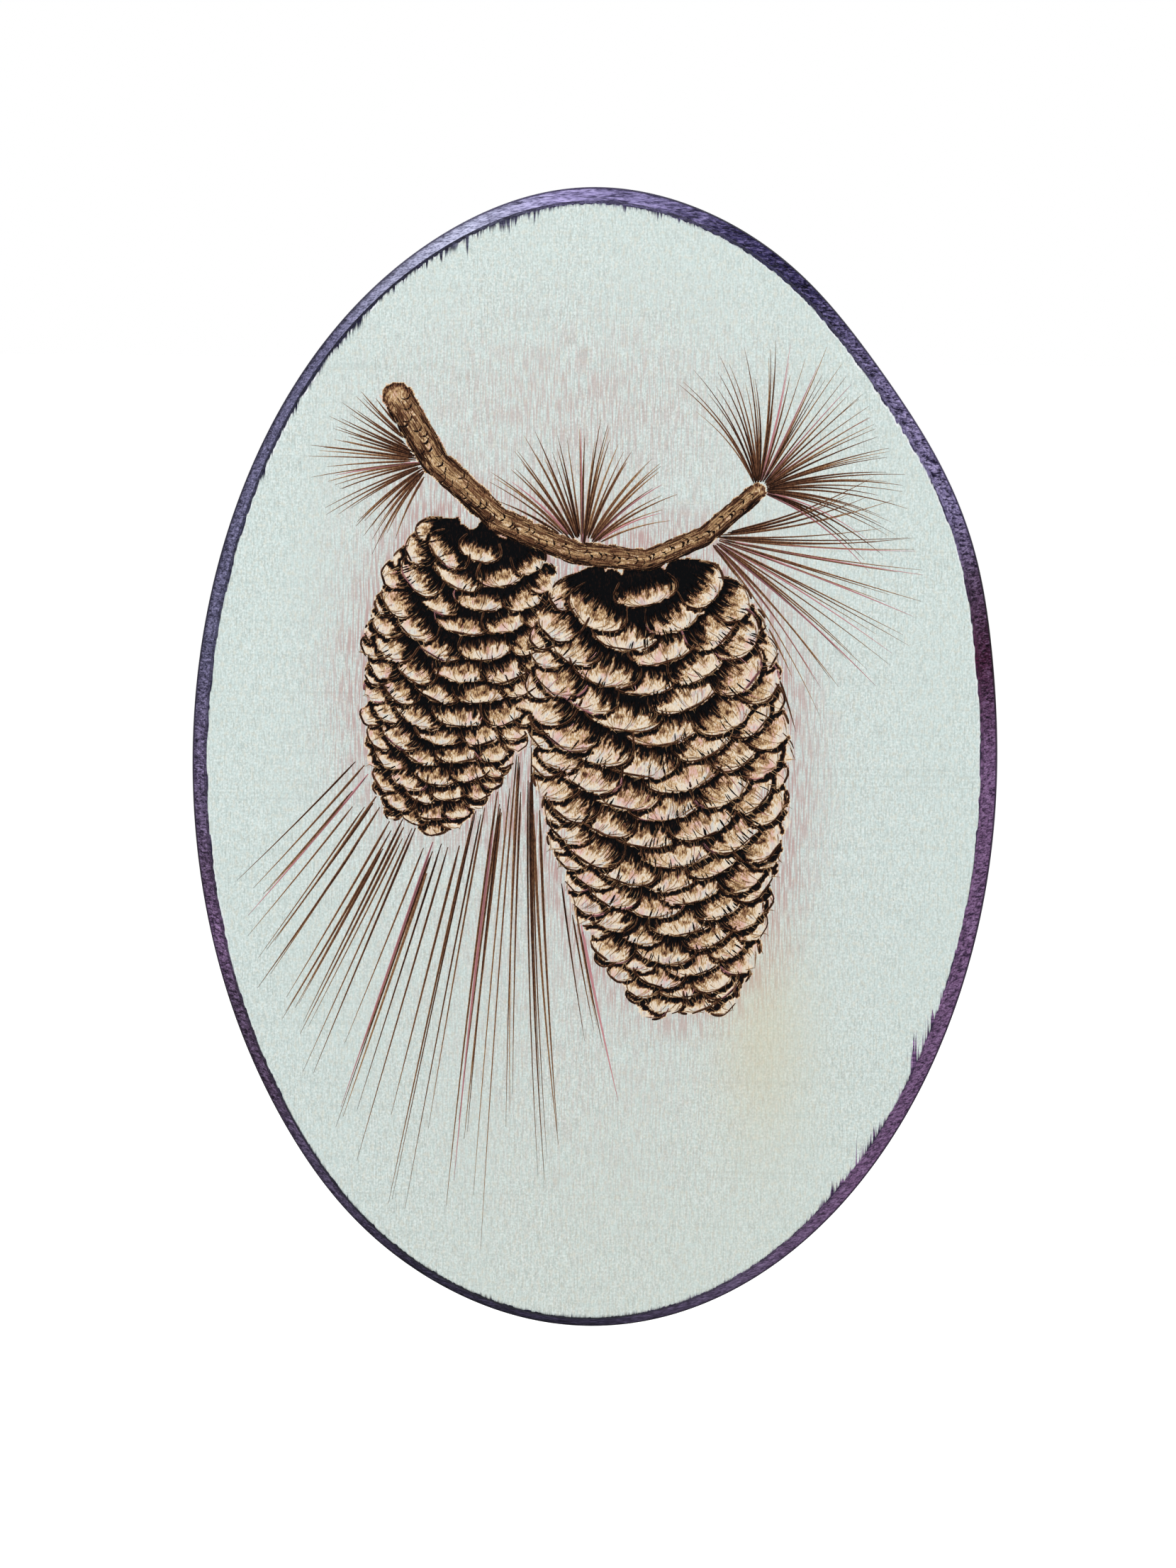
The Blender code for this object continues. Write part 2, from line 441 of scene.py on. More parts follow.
        # a dark line along the arris: partly ink, partly painted shade where the face meets the bevel
        drawn = g.add(Node.EASE, g.add(Node.NOISE, size=(9.0, 9.0, 9.0)), 0.36, 0.6, 0.1, 0.85)
        drawn = g.add(Node.TIMES, drawn, g.add(Node.EASE, read["near"], -0.32, -0.05))
        drawn = g.add(Node.TIMES, drawn, g.add(Node.EASE, read["near"], 0.7, 0.15, 0.2, 1.0))
        return g.add(Node.MIX, drawn, rim, self.ink_deep)

    def ink(self, g: Graph, read: dict) -> Socket:
        """Where the edge's dye has crept into the face.

        Args:
            g: The material to add to.
            read: The sockets of the face's fields.

        Returns:
            A mask, 1 where the wood is dyed: a wavering line at the rim, and spikes up the fibres.
        """
        waver = g.add(Node.EASE, g.add(Node.NOISE, size=(0.7, 1.2, 2.5)), 0.3, 0.7, -0.15, 0.2)
        line = g.add(Node.EASE, g.add(Node.MINUS, waver, read["near"]), -0.08, 0.08)
        spike = g.add(Node.NOISE, size=(0.4, 3.0, 30.0), Detail=3.0, Roughness=0.75)
        cluster = g.add(Node.EASE, g.add(Node.NOISE, size=(3.2, 4.0, 9.0)), 0.45, 0.63, 0.5, 1.2)
        soaked = g.add(Node.TIMES, cluster, read["bleed"])
        reach = g.add(Node.TIMES, g.add(Node.EASE, spike, 0.36, 0.78, 0.0, 5.0), soaked)
        fringe = g.add(Node.EASE, g.add(Node.MINUS, reach, read["along"]), -0.35, 0.6)
        return g.add(Node.LARGER, line, fringe)


@dataclass(frozen=True)
class CoreFinish:
    """The cross-laid basswood core where the bevel cuts it: torn fibres that drank the dye unevenly.

    The cutter lifted long splinters along the grain, which leaves furrows and ridges; painted shade darkens
    the furrows and a painted highlight lightens the ridges.
    """

    shade_tint: str = "#46405c"  # what the dye is multiplied by for painted shade in the torn furrows and on the fine fibres
    lit: str = "#b3a8cf"

    def build(self) -> bpy.types.Material:
        """Makes the material.

        Returns:
            The material, which reads the attributes dye, deep and rough.
        """
        g = Surface("dyed basswood core", 0.75, specular=0.08)
        dye = g.add(Node.TINT, attribute_name="dye")
        deep, rough = (g.add(Node.FIELD, attribute_name=name) for name in ("deep", "rough"))
        torn = g.add(Node.NOISE, size=(5.0, 2.0, 0.46), Detail=4.0, Roughness=0.68, Distortion=0.45)
        fine = g.add(Node.NOISE, size=(1.1, 0.7, 0.2))
        # painted highlight: the dye screened over itself and mixed with the lit tint, laid on the torn ridges
        painted_highlight = g.add(Node.MIX, 0.3, g.add(Node.MIX, 1.0, dye, dye, blend_type="SCREEN"), self.lit)
        # painted shade and painted highlight that follow the torn relief, stronger where it is rougher
        shadow = g.add(Node.TIMES, g.add(Node.EASE, torn, 0.55, 0.36, 0.0, 0.95), rough)
        flash = g.add(Node.TIMES, g.add(Node.EASE, torn, 0.5, 0.68, 0.0, 0.85), rough)
        # painted shade, darker where the fibres are torn deeper
        color = g.layered(dye, (deep, 0.15, 0.7, 0.65, self.shade_tint), blend_type="MULTIPLY")
        color = g.add(Node.MIX, shadow, color, self.shade_tint, blend_type="MULTIPLY")
        color = g.add(Node.MIX, flash, color, painted_highlight)
        # painted shade and painted highlight on the fine fibres
        color = g.layered(color, (fine, 0.52, 0.34, 0.6, self.shade_tint), blend_type="MULTIPLY")
        color = g.layered(color, (fine, 0.54, 0.68, 0.4, painted_highlight))
        return g.finish(color, None, g.add(Node.PLUS, torn, fine), 0.2)


@dataclass(frozen=True)
class BackFinish:
    """Bare sanded basswood on the back: warm cream in soft upright bands, with dye run over its edge."""

    pale: str = "#e3d2b1"
    mid: str = "#d6c09a"
    deep: str = "#b99c70"
    pore: str = "#8a6d48"
    edge: str = "#4a4256"  # what the dye is multiplied by on the square edge, where it pooled

    def build(self) -> bpy.types.Material:
        """Makes the material.

        Returns:
            The material, which reads the attributes near, along, bleed and dye.
        """
        g = Surface("bare basswood veneer", 0.6, specular=0.15)
        near, along, bleed = (g.add(Node.FIELD, attribute_name=name) for name in ("near", "along", "bleed"))
        dye = g.add(Node.TINT, attribute_name="dye")
        hair = g.add(Node.NOISE, size=(0.2, 0.6, 7.0), Detail=3.0, Roughness=0.6)
        band = g.add(Node.NOISE, size=(2.2, 2.0, 70.0), Distortion=0.3)
        pore = g.add(Node.NOISE, size=(0.16, 0.5, 1.6), Detail=1.0)
        bare = g.add(Node.RAMP, hair, stops=((0.32, self.deep), (0.5, self.mid), (0.66, self.pale)))
        bare = g.layered(bare, (band, 0.35, 0.7, 0.55, self.pale), (pore, 0.7, 0.8, 0.6, self.pore))
        drunk = g.add(Node.EASE, hair, 0.3, 0.6, 0.95, 0.6)
        color = g.add(Node.MIX, g.add(Node.TIMES, self.ink(g, near, along, bleed), drunk), bare, dye)
        pooled = g.add(Node.EASE, hair, 0.3, 0.7, 0.98, 0.86)
        edge = g.add(Node.MIX, pooled, dye, self.edge, blend_type="MULTIPLY")
        return g.finish(g.layered(color, (near, 0.02, -0.02, 1.0, edge)), None, hair, 0.03)

    def ink(self, g: Graph, near: Socket, along: Socket, bleed: Socket) -> Socket:
        """Where the dye ran over the edge on to the back.

        Args:
            g: The material to add to.
            near: The distance from the edge.
            along: The distance from the edge along the fibres.
            bleed: How strongly the dye crept up them.

        Returns:
            A mask, 1 where the wood is dyed.
        """
        waver = g.add(Node.NOISE, size=(4.0, 4.0, 9.0), Detail=3.0)
        waver = g.add(Node.EASE, waver, 0.34, 0.75, 0.1, 2.0)
        line = g.add(Node.EASE, g.add(Node.MINUS, waver, near), -0.5, 0.6)
        spike = g.add(Node.NOISE, size=(0.25, 3.0, 30.0), Roughness=0.7)
        reach = g.add(Node.TIMES, g.add(Node.EASE, spike, 0.4, 0.8, 0.1, 5.0), bleed)
        fringe = g.add(Node.EASE, g.add(Node.MINUS, reach, along), -0.2, 0.6)
        return g.add(Node.LARGER, line, fringe)


@dataclass(frozen=True)
class SteelFinish:
    """Pressed mild steel with bright zinc plating: faint lines from the rolling, clouded by handling."""

    clean: str = "#c9cbcf"
    dull: str = "#b2b4b9"

    def build(self) -> bpy.types.Material:
        """Makes the material.

        Returns:
            The material.
        """
        g = Surface("zinc-plated steel", 0.32, metallic=1.0)
        cloud = g.add(Node.NOISE, size=(4.5, 2.5, 2.5), Detail=3.0)
        rolled = g.add(Node.NOISE, size=(6.0, 0.5, 0.09))
        color = g.add(Node.MIX, g.add(Node.EASE, cloud, 0.35, 0.7), self.clean, self.dull)
        return g.finish(color, g.add(Node.EASE, cloud, 0.3, 0.7, 0.28, 0.4), rolled, 0.01)


@dataclass(frozen=True)
class BrassFinish:
    """Brass-plated brads, burnished bright where the hammer struck them."""

    bright: str = "#e3c27a"
    worn: str = "#b08a4a"

    def build(self) -> bpy.types.Material:
        """Makes the material.

        Returns:
            The material.
        """
        g = Surface("brass-plated brad", 0.28, metallic=1.0)
        scuff = g.add(Node.NOISE, size=(0.7, 0.7, 0.7), Detail=4.0)
        color = g.add(Node.MIX, g.add(Node.EASE, scuff, 0.4, 0.65), self.bright, self.worn)
        return g.finish(color, g.add(Node.EASE, scuff, 0.3, 0.7, 0.2, 0.45), scuff, 0.02)


# ---------------------------------------------------------------- shapes


def add_piece(name: str, verts: np.ndarray, faces: list, finish: bpy.types.Material) -> bpy.types.Object:
    """Adds a smooth mesh object.

    Args:
        name: The piece's name.
        verts: Its points, in metres.
        faces: Its faces, as rows of point numbers.
        finish: Its material.

    Returns:
        The object.
    """
    mesh = bpy.data.meshes.new(name)
    mesh.from_pydata(verts.tolist(), [], faces)
    mesh.materials.append(finish)
    mesh.shade_smooth()
    piece = bpy.data.objects.new(name, mesh)
    bpy.context.collection.objects.link(piece)
    return piece


def set_field(piece: bpy.types.Object, name: str, values: np.ndarray) -> None:
    """Stores a value at every point of a piece, for its material to read.

    Args:
        piece: The piece.
        name: The field's name.
        values: A number or a linear colour for each point.
    """
    kind = "FLOAT" if values.ndim == 1 else "FLOAT_COLOR"
    layer = piece.data.attributes.new(name, kind, "POINT")
    layer.data.foreach_set("value" if kind == "FLOAT" else "color", values.astype(np.float32).ravel())


def pile(count: int, points: int, first: int = 0) -> list:
    """Quads between closed loops that lie one behind the other, and a flat back on the last.

    Args:
        count: The number of loops.
        points: The points in each loop.
        first: The first loop's first point.

    Returns:
        The faces.
    """
    turns = [(i, (i + 1) % points) for i in range(points)]
    starts = range(first, first + count * points, points)
    faces = [(a + i, b + i, b + j, a + j) for a, b in zip(starts, starts[1:]) for i, j in turns]
    return [*faces, list(range(starts[-1] + points - 1, starts[-1] - 1, -1))]


class Dye(Enum):
    """The dyes on the edge, each as it looks where it lies thin on basswood."""

    MAUVE = "#8f6c98"
    PLUM = "#50153b"
    GRAPE = "#68506f"
    LILAC = "#9a90bf"
    INDIGO = "#2c2656"
    PEARL = "#b8bad5"
    SLATE = "#686684"
    HEATHER = "#78688c"
    INK = "#332c4a"


@dataclass(frozen=True)
class Board:
    """The oval board: its outline, its bevel and where its plies part."""

    width: float = 126 * MM
    height: float = 178 * MM
    bevel_run: float = 2.8 * MM
    bevel_depth: float = 5.75 * MM
    face_ply: float = 1.1 * MM
    back_ply: float = 1.15 * MM
    arris: float = 0.15 * MM
    # Where the sander took off or left wood: degrees, spread in degrees, height off the oval
    sanded: tuple = ((56, 13, -1.2 * MM), (31, 14, 0.7 * MM), (92, 12, 0.75 * MM), (243, 11, 0.35 * MM))
    # Where the bevel was cut narrower or wider: degrees, spread in degrees, change of its run
    cuts: tuple = ((258, 36, -0.6 * MM), (125, 24, -0.6 * MM), (55, 24, -0.42 * MM))
    # Which dye was brushed on where, each running into the next: degrees, dye
    brushed: tuple = (
        (0, Dye.MAUVE), (16, Dye.PLUM), (27, Dye.GRAPE), (36, Dye.LILAC), (48, Dye.LILAC),
        (66, Dye.INDIGO), (75, Dye.INDIGO), (94, Dye.LILAC), (104, Dye.PEARL), (122, Dye.SLATE),
        (164, Dye.SLATE), (182, Dye.HEATHER), (196, Dye.GRAPE), (206, Dye.MAUVE), (214, Dye.GRAPE),
        (226, Dye.GRAPE), (234, Dye.HEATHER), (250, Dye.INK), (271, Dye.INK), (285, Dye.HEATHER),
        (303, Dye.MAUVE),
    )  # fmt: skip
    # How strongly the dye crept up the fibres: degrees, spread in degrees, strength
    creeps: tuple = (
        (40, 3, 0.5), (62, 14, 0.06), (83, 6, 0.3), (102, 10, 0.4), (124, 22, 0.6), (232, 14, 0.2),
        (264, 14, 0.2), (290, 12, 0.2), (305, 6, 0.9), (320, 6, 1.2), (328, 5, 0.8),
    )  # fmt: skip

    @property
    def face_y(self) -> float:
        """The face's y."""
        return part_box("face_veneer")[0].y

    @property
    def back_y(self) -> float:
        """The back's y."""
        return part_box("back_veneer")[1].y

    @property
    def centre(self) -> tuple[float, float]:
        """The oval's centre as (x, z), from the back's lowest and leftmost points."""
        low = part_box("back_veneer")[0]
        return low.x + self.width / 2, low.z + self.height / 2

    def off(self, angle: np.ndarray) -> np.ndarray:
        """How far the outline stands off the true oval at these angles, in degrees."""
        return self.gather(angle, self.sanded)

    @staticmethod
    def gather(angle: np.ndarray, places: tuple) -> np.ndarray:
        """Adds up bumps round the board.

        Args:
            angle: Degrees from +X towards +Z.
            places: (degrees, spread, amount) of each bump.

        Returns:
            The sum at each angle.
        """
        total = np.zeros_like(angle)
        for place, spread, amount in places:
            away = (angle - place + 180) % 360 - 180
            total += amount * np.exp(-((away / spread) ** 2))
        return total

    def inset(self, points: np.ndarray, slope: float, more: float) -> np.ndarray:
        """How far a line on the bevel or the face lies inside the outline, at each point's place round it.

        Args:
            points: (x, z) from the centre.
            slope: How far up the bevel the line is, 0 at the outline and 1 at the face.
            more: How much further in it lies.

        Returns:
            The distances.
        """
        run = self.bevel_run + self.gather(degrees_round(points), self.cuts)
        return run * slope + more

    def loop(self, count: int, slope: float, more: float = 0.0) -> np.ndarray:
        """The outline moved inwards, as (x, z) from the centre.

        Args:
            count: The number of points.
            slope: How far up the bevel it moves, 0 to 1.
            more: How much further in it moves.

        Returns:
            The points, in metres.
        """
        t = np.arange(count) * 2 * np.pi / count
        points = np.stack((self.width / 2 * np.cos(t), self.height / 2 * np.sin(t)), 1)
        normal = points / np.array((self.width, self.height)) ** 2
        normal /= np.linalg.norm(normal, axis=1)[:, None]
        move = self.off(degrees_round(points)) - self.inset(points, slope, more)
        return points + normal * move[:, None]

    def inside(self, points: np.ndarray, slope: float, more: float = 0.0) -> tuple[np.ndarray, np.ndarray]:
        """How far points lie inside the outline moved inwards.

        Args:
            points: (x, z) from the centre.
            slope: How far up the bevel the outline moves, 0 to 1.
            more: How much further in it moves.

        Returns:
            The distance square to the outline and the distance along the fibres.
        """
        half = np.array((self.width, self.height)) / 2
        inset = self.inset(points, slope, more)
        share = np.linalg.norm(points / half, axis=1).clip(1e-3)
        rise = points / half**2 / share[:, None]
        steep = np.linalg.norm(rise, axis=1).clip(1 / half[1])
        off = self.off(degrees_round(points))
        lean = (np.abs(rise[:, 1]) / steep).clip(0.1)
        across = np.clip(1 - (points[:, 0] / (half[0] - inset)) ** 2, 0, 1)
        reach = (half[1] - inset) * np.sqrt(across) - np.abs(points[:, 1]) + off / lean
        return (1 - share) / steep + off - inset, reach

    def bevel(self, depth: float) -> float:
        """How far up the bevel a depth below the face is, from 1 at the face to 0 at the outline."""
        return max(0.0, 1 - depth / self.bevel_depth)

    def dye(self, points: np.ndarray) -> np.ndarray:
        """The dye's colour by place round the edge.

        Args:
            points: (x, z) from the centre.

        Returns:
            A linear colour for each point.
        """
        angle = degrees_round(points) % 360
        places = [place for place, _ in self.brushed]
        colors = np.array([linear(dye.value) for _, dye in self.brushed])
        return np.stack([np.interp(angle, places, colors[:, i], period=360) for i in range(4)], 1)

    def creep(self, points: np.ndarray) -> np.ndarray:
        """How strongly the dye crept up the fibres at each point's place round the edge."""
        return self.gather(degrees_round(points), self.creeps)

    def lift(self, points: np.ndarray, y: float | np.ndarray) -> np.ndarray:
        """Points of the plane, from the centre, as 3-D points at a y."""
        x, z = self.centre
        return np.stack((points[:, 0] + x, np.broadcast_to(y, len(points)), points[:, 1] + z), 1)


# ------------------------------------------------------------ the drawing, in millimetres from the centre


class Taper(Enum):
    """How a stroke's width runs from its start to its end."""

    FLICK = "pressed at the start, lifted to a point"
    LEAF = "thin at both ends"
    LINE = "even, with short ends"

    def widths(self, count: int) -> np.ndarray:
        """The width along a stroke.

        Args:
            count: The number of evenly spaced points.

        Returns:
            The share of the full width at each.
        """
        t = np.linspace(0, 1, count)
        if self is Taper.FLICK:
            return np.minimum(1, (t + 0.03) / 0.15) ** 0.6 * (1 - t * 0.97) ** 0.7
        if self is Taper.LEAF:
            return 0.06 + 0.94 * np.sin(np.pi * (t * 0.96 + 0.02) ** 0.8) ** 0.6
        return np.minimum(1, np.minimum(t + 0.08, 1.08 - t) / 0.22) ** 0.6


@dataclass
class Strokes:
    """Burnt strokes that share one mesh: low closed ridges, dark on the crest and golden at the sides."""

    name: str
    points: int = 6
    rise: float = 0.03  # how far the crest stands off the face, in millimetres
    bed: float = 0.02  # how far the sides lie in it
    lap: float = 0.012  # how much higher the last stroke lies than the first
    paths: list = field(default_factory=list)
    halves: list = field(default_factory=list)
    crests: list = field(default_factory=list)
    sides: list = field(default_factory=list)
    roses: list = field(default_factory=list)

    def add(self, path: list | np.ndarray, width: float, char: float, side: float = 0.35,
            taper: Taper = Taper.FLICK, rose: float = 0.0, fade: float = 0.0,
            root: float = 0.0) -> None:  # fmt: skip
        """Adds one stroke.

        Args:
            path: Its points, two or more.
            width: Its full width.
            char: How dark its crest is, 0 to 1.
            side: How dark its sides are.
            taper: How its width runs.
            rose: How much pink pencil lies in it.
            fade: How much lighter its end is than its start.
            root: How far its start is scorched black across its whole width.
        """
        path = np.asarray(path, float)
        self.paths.append(follow(path, np.linspace(0, follow(path)[-1], self.points)))
        self.halves.append(taper.widths(self.points) * width / 2)
        t = np.linspace(0, 1, self.points)
        falling, scorch = 1 - fade * t, root * np.clip(1 - 1.7 * t, 0, 1) ** 0.6
        self.crests.append(char * falling + (1 - char * falling) * scorch)
        self.sides.append(side * falling + (1 - side * falling) * scorch)
        self.roses.append(np.full(self.points, rose))

    def build(self, board: Board, canvas: "Canvas", finish: bpy.types.Material,
              layer: int) -> bpy.types.Object:  # fmt: skip
        """Makes the mesh.

        Args:
            board: The board it lies on.
            canvas: Says how deep the face is burnt below each stroke.
            finish: Its material.
            layer: Its place in the order of pieces, lowest first.

        Returns:
            The object.
        """
        path, half = np.array(self.paths), np.array(self.halves)
        along = np.gradient(path, axis=1)
        along /= np.linalg.norm(along, axis=2).clip(1e-9)[..., None]
        across = np.stack((-along[..., 1], along[..., 0]), 2) * half[..., None]
        plane = np.stack((path + across, path, path - across), 2).reshape(-1, 2)
        count, steps = half.shape
        order = np.repeat(np.arange(count) / count, steps * 3)
        rise = np.tile((-self.bed, self.rise, -self.bed), count * steps) + self.lap * (layer + order)
        y = board.face_y + (canvas.sink(plane) - rise) * MM
        piece = add_piece(self.name, board.lift(plane * MM, y), self.faces(count, steps), finish)
        char = np.stack((self.sides, self.crests, self.sides), 2)
        set_field(piece, "char", char.ravel())
        set_field(piece, "rose", np.repeat(np.ravel(self.roses), 3))
        return piece

    @staticmethod
    def faces(count: int, steps: int) -> list:
        """The faces of all ridges, whose points run left, crest and right at each step.

        Args:
            count: The number of ridges.
            steps: The number of steps in each.

        Returns:
            The faces as rows of point numbers.
        """
        start = (np.arange(count) * steps * 3)[:, None, None]
        step = (np.arange(steps - 1) * 3)[None, :, None]
        quads = [np.array(q) for q in ((0, 1, 4, 3), (1, 2, 5, 4), (0, 3, 5, 2))]
        sides = np.concatenate([(start + step + q).reshape(-1, 4) for q in quads])
        last = (steps - 1) * 3
        ends = np.concatenate([start[:, 0] + np.array(e) for e in ((0, 2, 1), (last, last + 1, last + 2))])
        return sides.tolist() + ends.tolist()


@dataclass
class Canvas:
    """A fine grid over the face that the drawing is shaded on."""

    half: tuple = (64.0, 90.0)
    pitch: float = 0.1
    eaten: float = 0.16  # how deep the wood is burnt away where it is black

    def __post_init__(self) -> None:
        """Lays the grids: how burnt the wood is, what shows there, and where anything is drawn."""
        shape = tuple(round(2 * h / self.pitch) + 1 for h in self.half)
        self.char = np.zeros(shape)
        self.owner = np.full(shape, -1)
        self.marked = np.zeros(shape)

    def cells(self, points: np.ndarray) -> tuple:
        """The grid's cells nearest to places, as an index."""
        at = np.rint((np.asarray(points) + self.half) / self.pitch).astype(int)
        return tuple(np.clip(at, 0, np.array(self.char.shape) - 1).T)

    def window(self, points: np.ndarray) -> tuple[tuple, np.ndarray]:
        """The part of the grid round some places.

        Args:
            points: Places that it has to hold.

        Returns:
            The part as an index, and its cells' places.
        """
        low, high = (self.cells(edge[None]) for edge in (points.min(0), points.max(0)))
        part = tuple(slice(a[0], b[0] + 1) for a, b in zip(low, high))
        axes = [np.arange(s.start, s.stop) * self.pitch - h for s, h in zip(part, self.half)]
        return part, np.stack(np.meshgrid(*axes, indexing="ij"), 2)

    def read(self, grid: np.ndarray, points: np.ndarray) -> np.ndarray:
        """A grid's values at places between its cells.

        Args:
            grid: The grid.
            points: The places.

        Returns:
            The value at each.
        """
        at = (points + self.half) / self.pitch
        base = np.clip(np.floor(at).astype(int), 0, np.array(grid.shape) - 2)
        (i, j), (u, v) = base.T, np.clip(at - base, 0, 1).T
        low = grid[i, j] * (1 - u) + grid[i + 1, j] * u
        high = grid[i, j + 1] * (1 - u) + grid[i + 1, j + 1] * u
        return low * (1 - v) + high * v

    def sink(self, points: np.ndarray) -> np.ndarray:
        """How deep the burning has eaten in at places, in millimetres."""
        return self.eaten * smoothstep(0.6, 1.0, self.read(self.char, points))

    def haze(self, points: np.ndarray, reach: float) -> np.ndarray:
        """How much of the drawing lies round some places, 0 to 1.

        Args:
            points: The places.
            reach: How far round them, in millimetres.

        Returns:
            The share at each place.
        """
        span, soft = int(reach / self.pitch), self.marked
        for axis in (0, 1) * 3:  # three running means come close to a bell
            running = np.cumsum(np.pad(soft, [(span, span) if k == axis else (0, 0) for k in (0, 1)]), axis)
            ends = [np.take(running, np.arange(soft.shape[axis]) + k, axis) for k in (0, 2 * span)]
            soft = (ends[1] - ends[0]) / (2 * span)
        return self.read(soft, points)


@dataclass(frozen=True)
class Scale:
    """One woody scale of a cone, as drawn: a fan with a thick rounded lip."""

    root: np.ndarray
    along: np.ndarray
    length: float
    width: float
    shade: float

    @property
    def across(self) -> np.ndarray:
        """The unit direction from its left to its right, looking from the root to the lip."""
        return np.array((self.along[1], -self.along[0]))

    def half_width(self, t: np.ndarray) -> np.ndarray:
        """Half its width: a wedge that widens to a rounded lip.

        Args:
            t: Shares of its length.

        Returns:
            Half the width at each, in millimetres.
        """
        t = np.clip(t, 0, 1)
        wedge = 0.25 + 0.75 * np.clip(t / 0.62, 0, 1) ** 0.9
        lip = np.sqrt(np.clip(1 - (np.clip(t - 0.62, 0, 1) / 0.38) ** 2.4, 0, 1))
        return self.width / 2 * wedge * lip

    def point(self, side: float, t: float) -> np.ndarray:
        """The place at a share of the half width and a share of the length."""
        return self.root + self.along * t * self.length + self.across * side * self.half_width(t)

    @property
    def bounds(self) -> np.ndarray:
        """The scale and its shadow in a box.

        Returns:
            The box's four corners.
        """
        reach = self.along * (self.length + 2.5)
        aside = self.across * (self.width / 2 + 1.5)
        return np.array([self.root + k * reach + m * aside for k in (-0.2, 1) for m in (-1, 1)])

    def local(self, points: np.ndarray, grow: float = 0.0, shift: float = 0.0) -> tuple:
        """Points in the scale's own measures.

        Args:
            points: Places in the drawing.
            grow: How much larger the scale is taken, in millimetres.
            shift: How far it is moved along itself, in millimetres.

        Returns:
            Which points are inside, their share of the length and their share of the half width.
        """
        rel = points - self.root - self.along * (shift - grow * 0.5)
        t = rel @ self.along / (self.length + grow)
        half = self.half_width(t) * (1 + grow / self.width) + 1e-6
        side = rel @ self.across / half
        return (t > 0) & (t < 1) & (np.abs(side) < 1), t, side


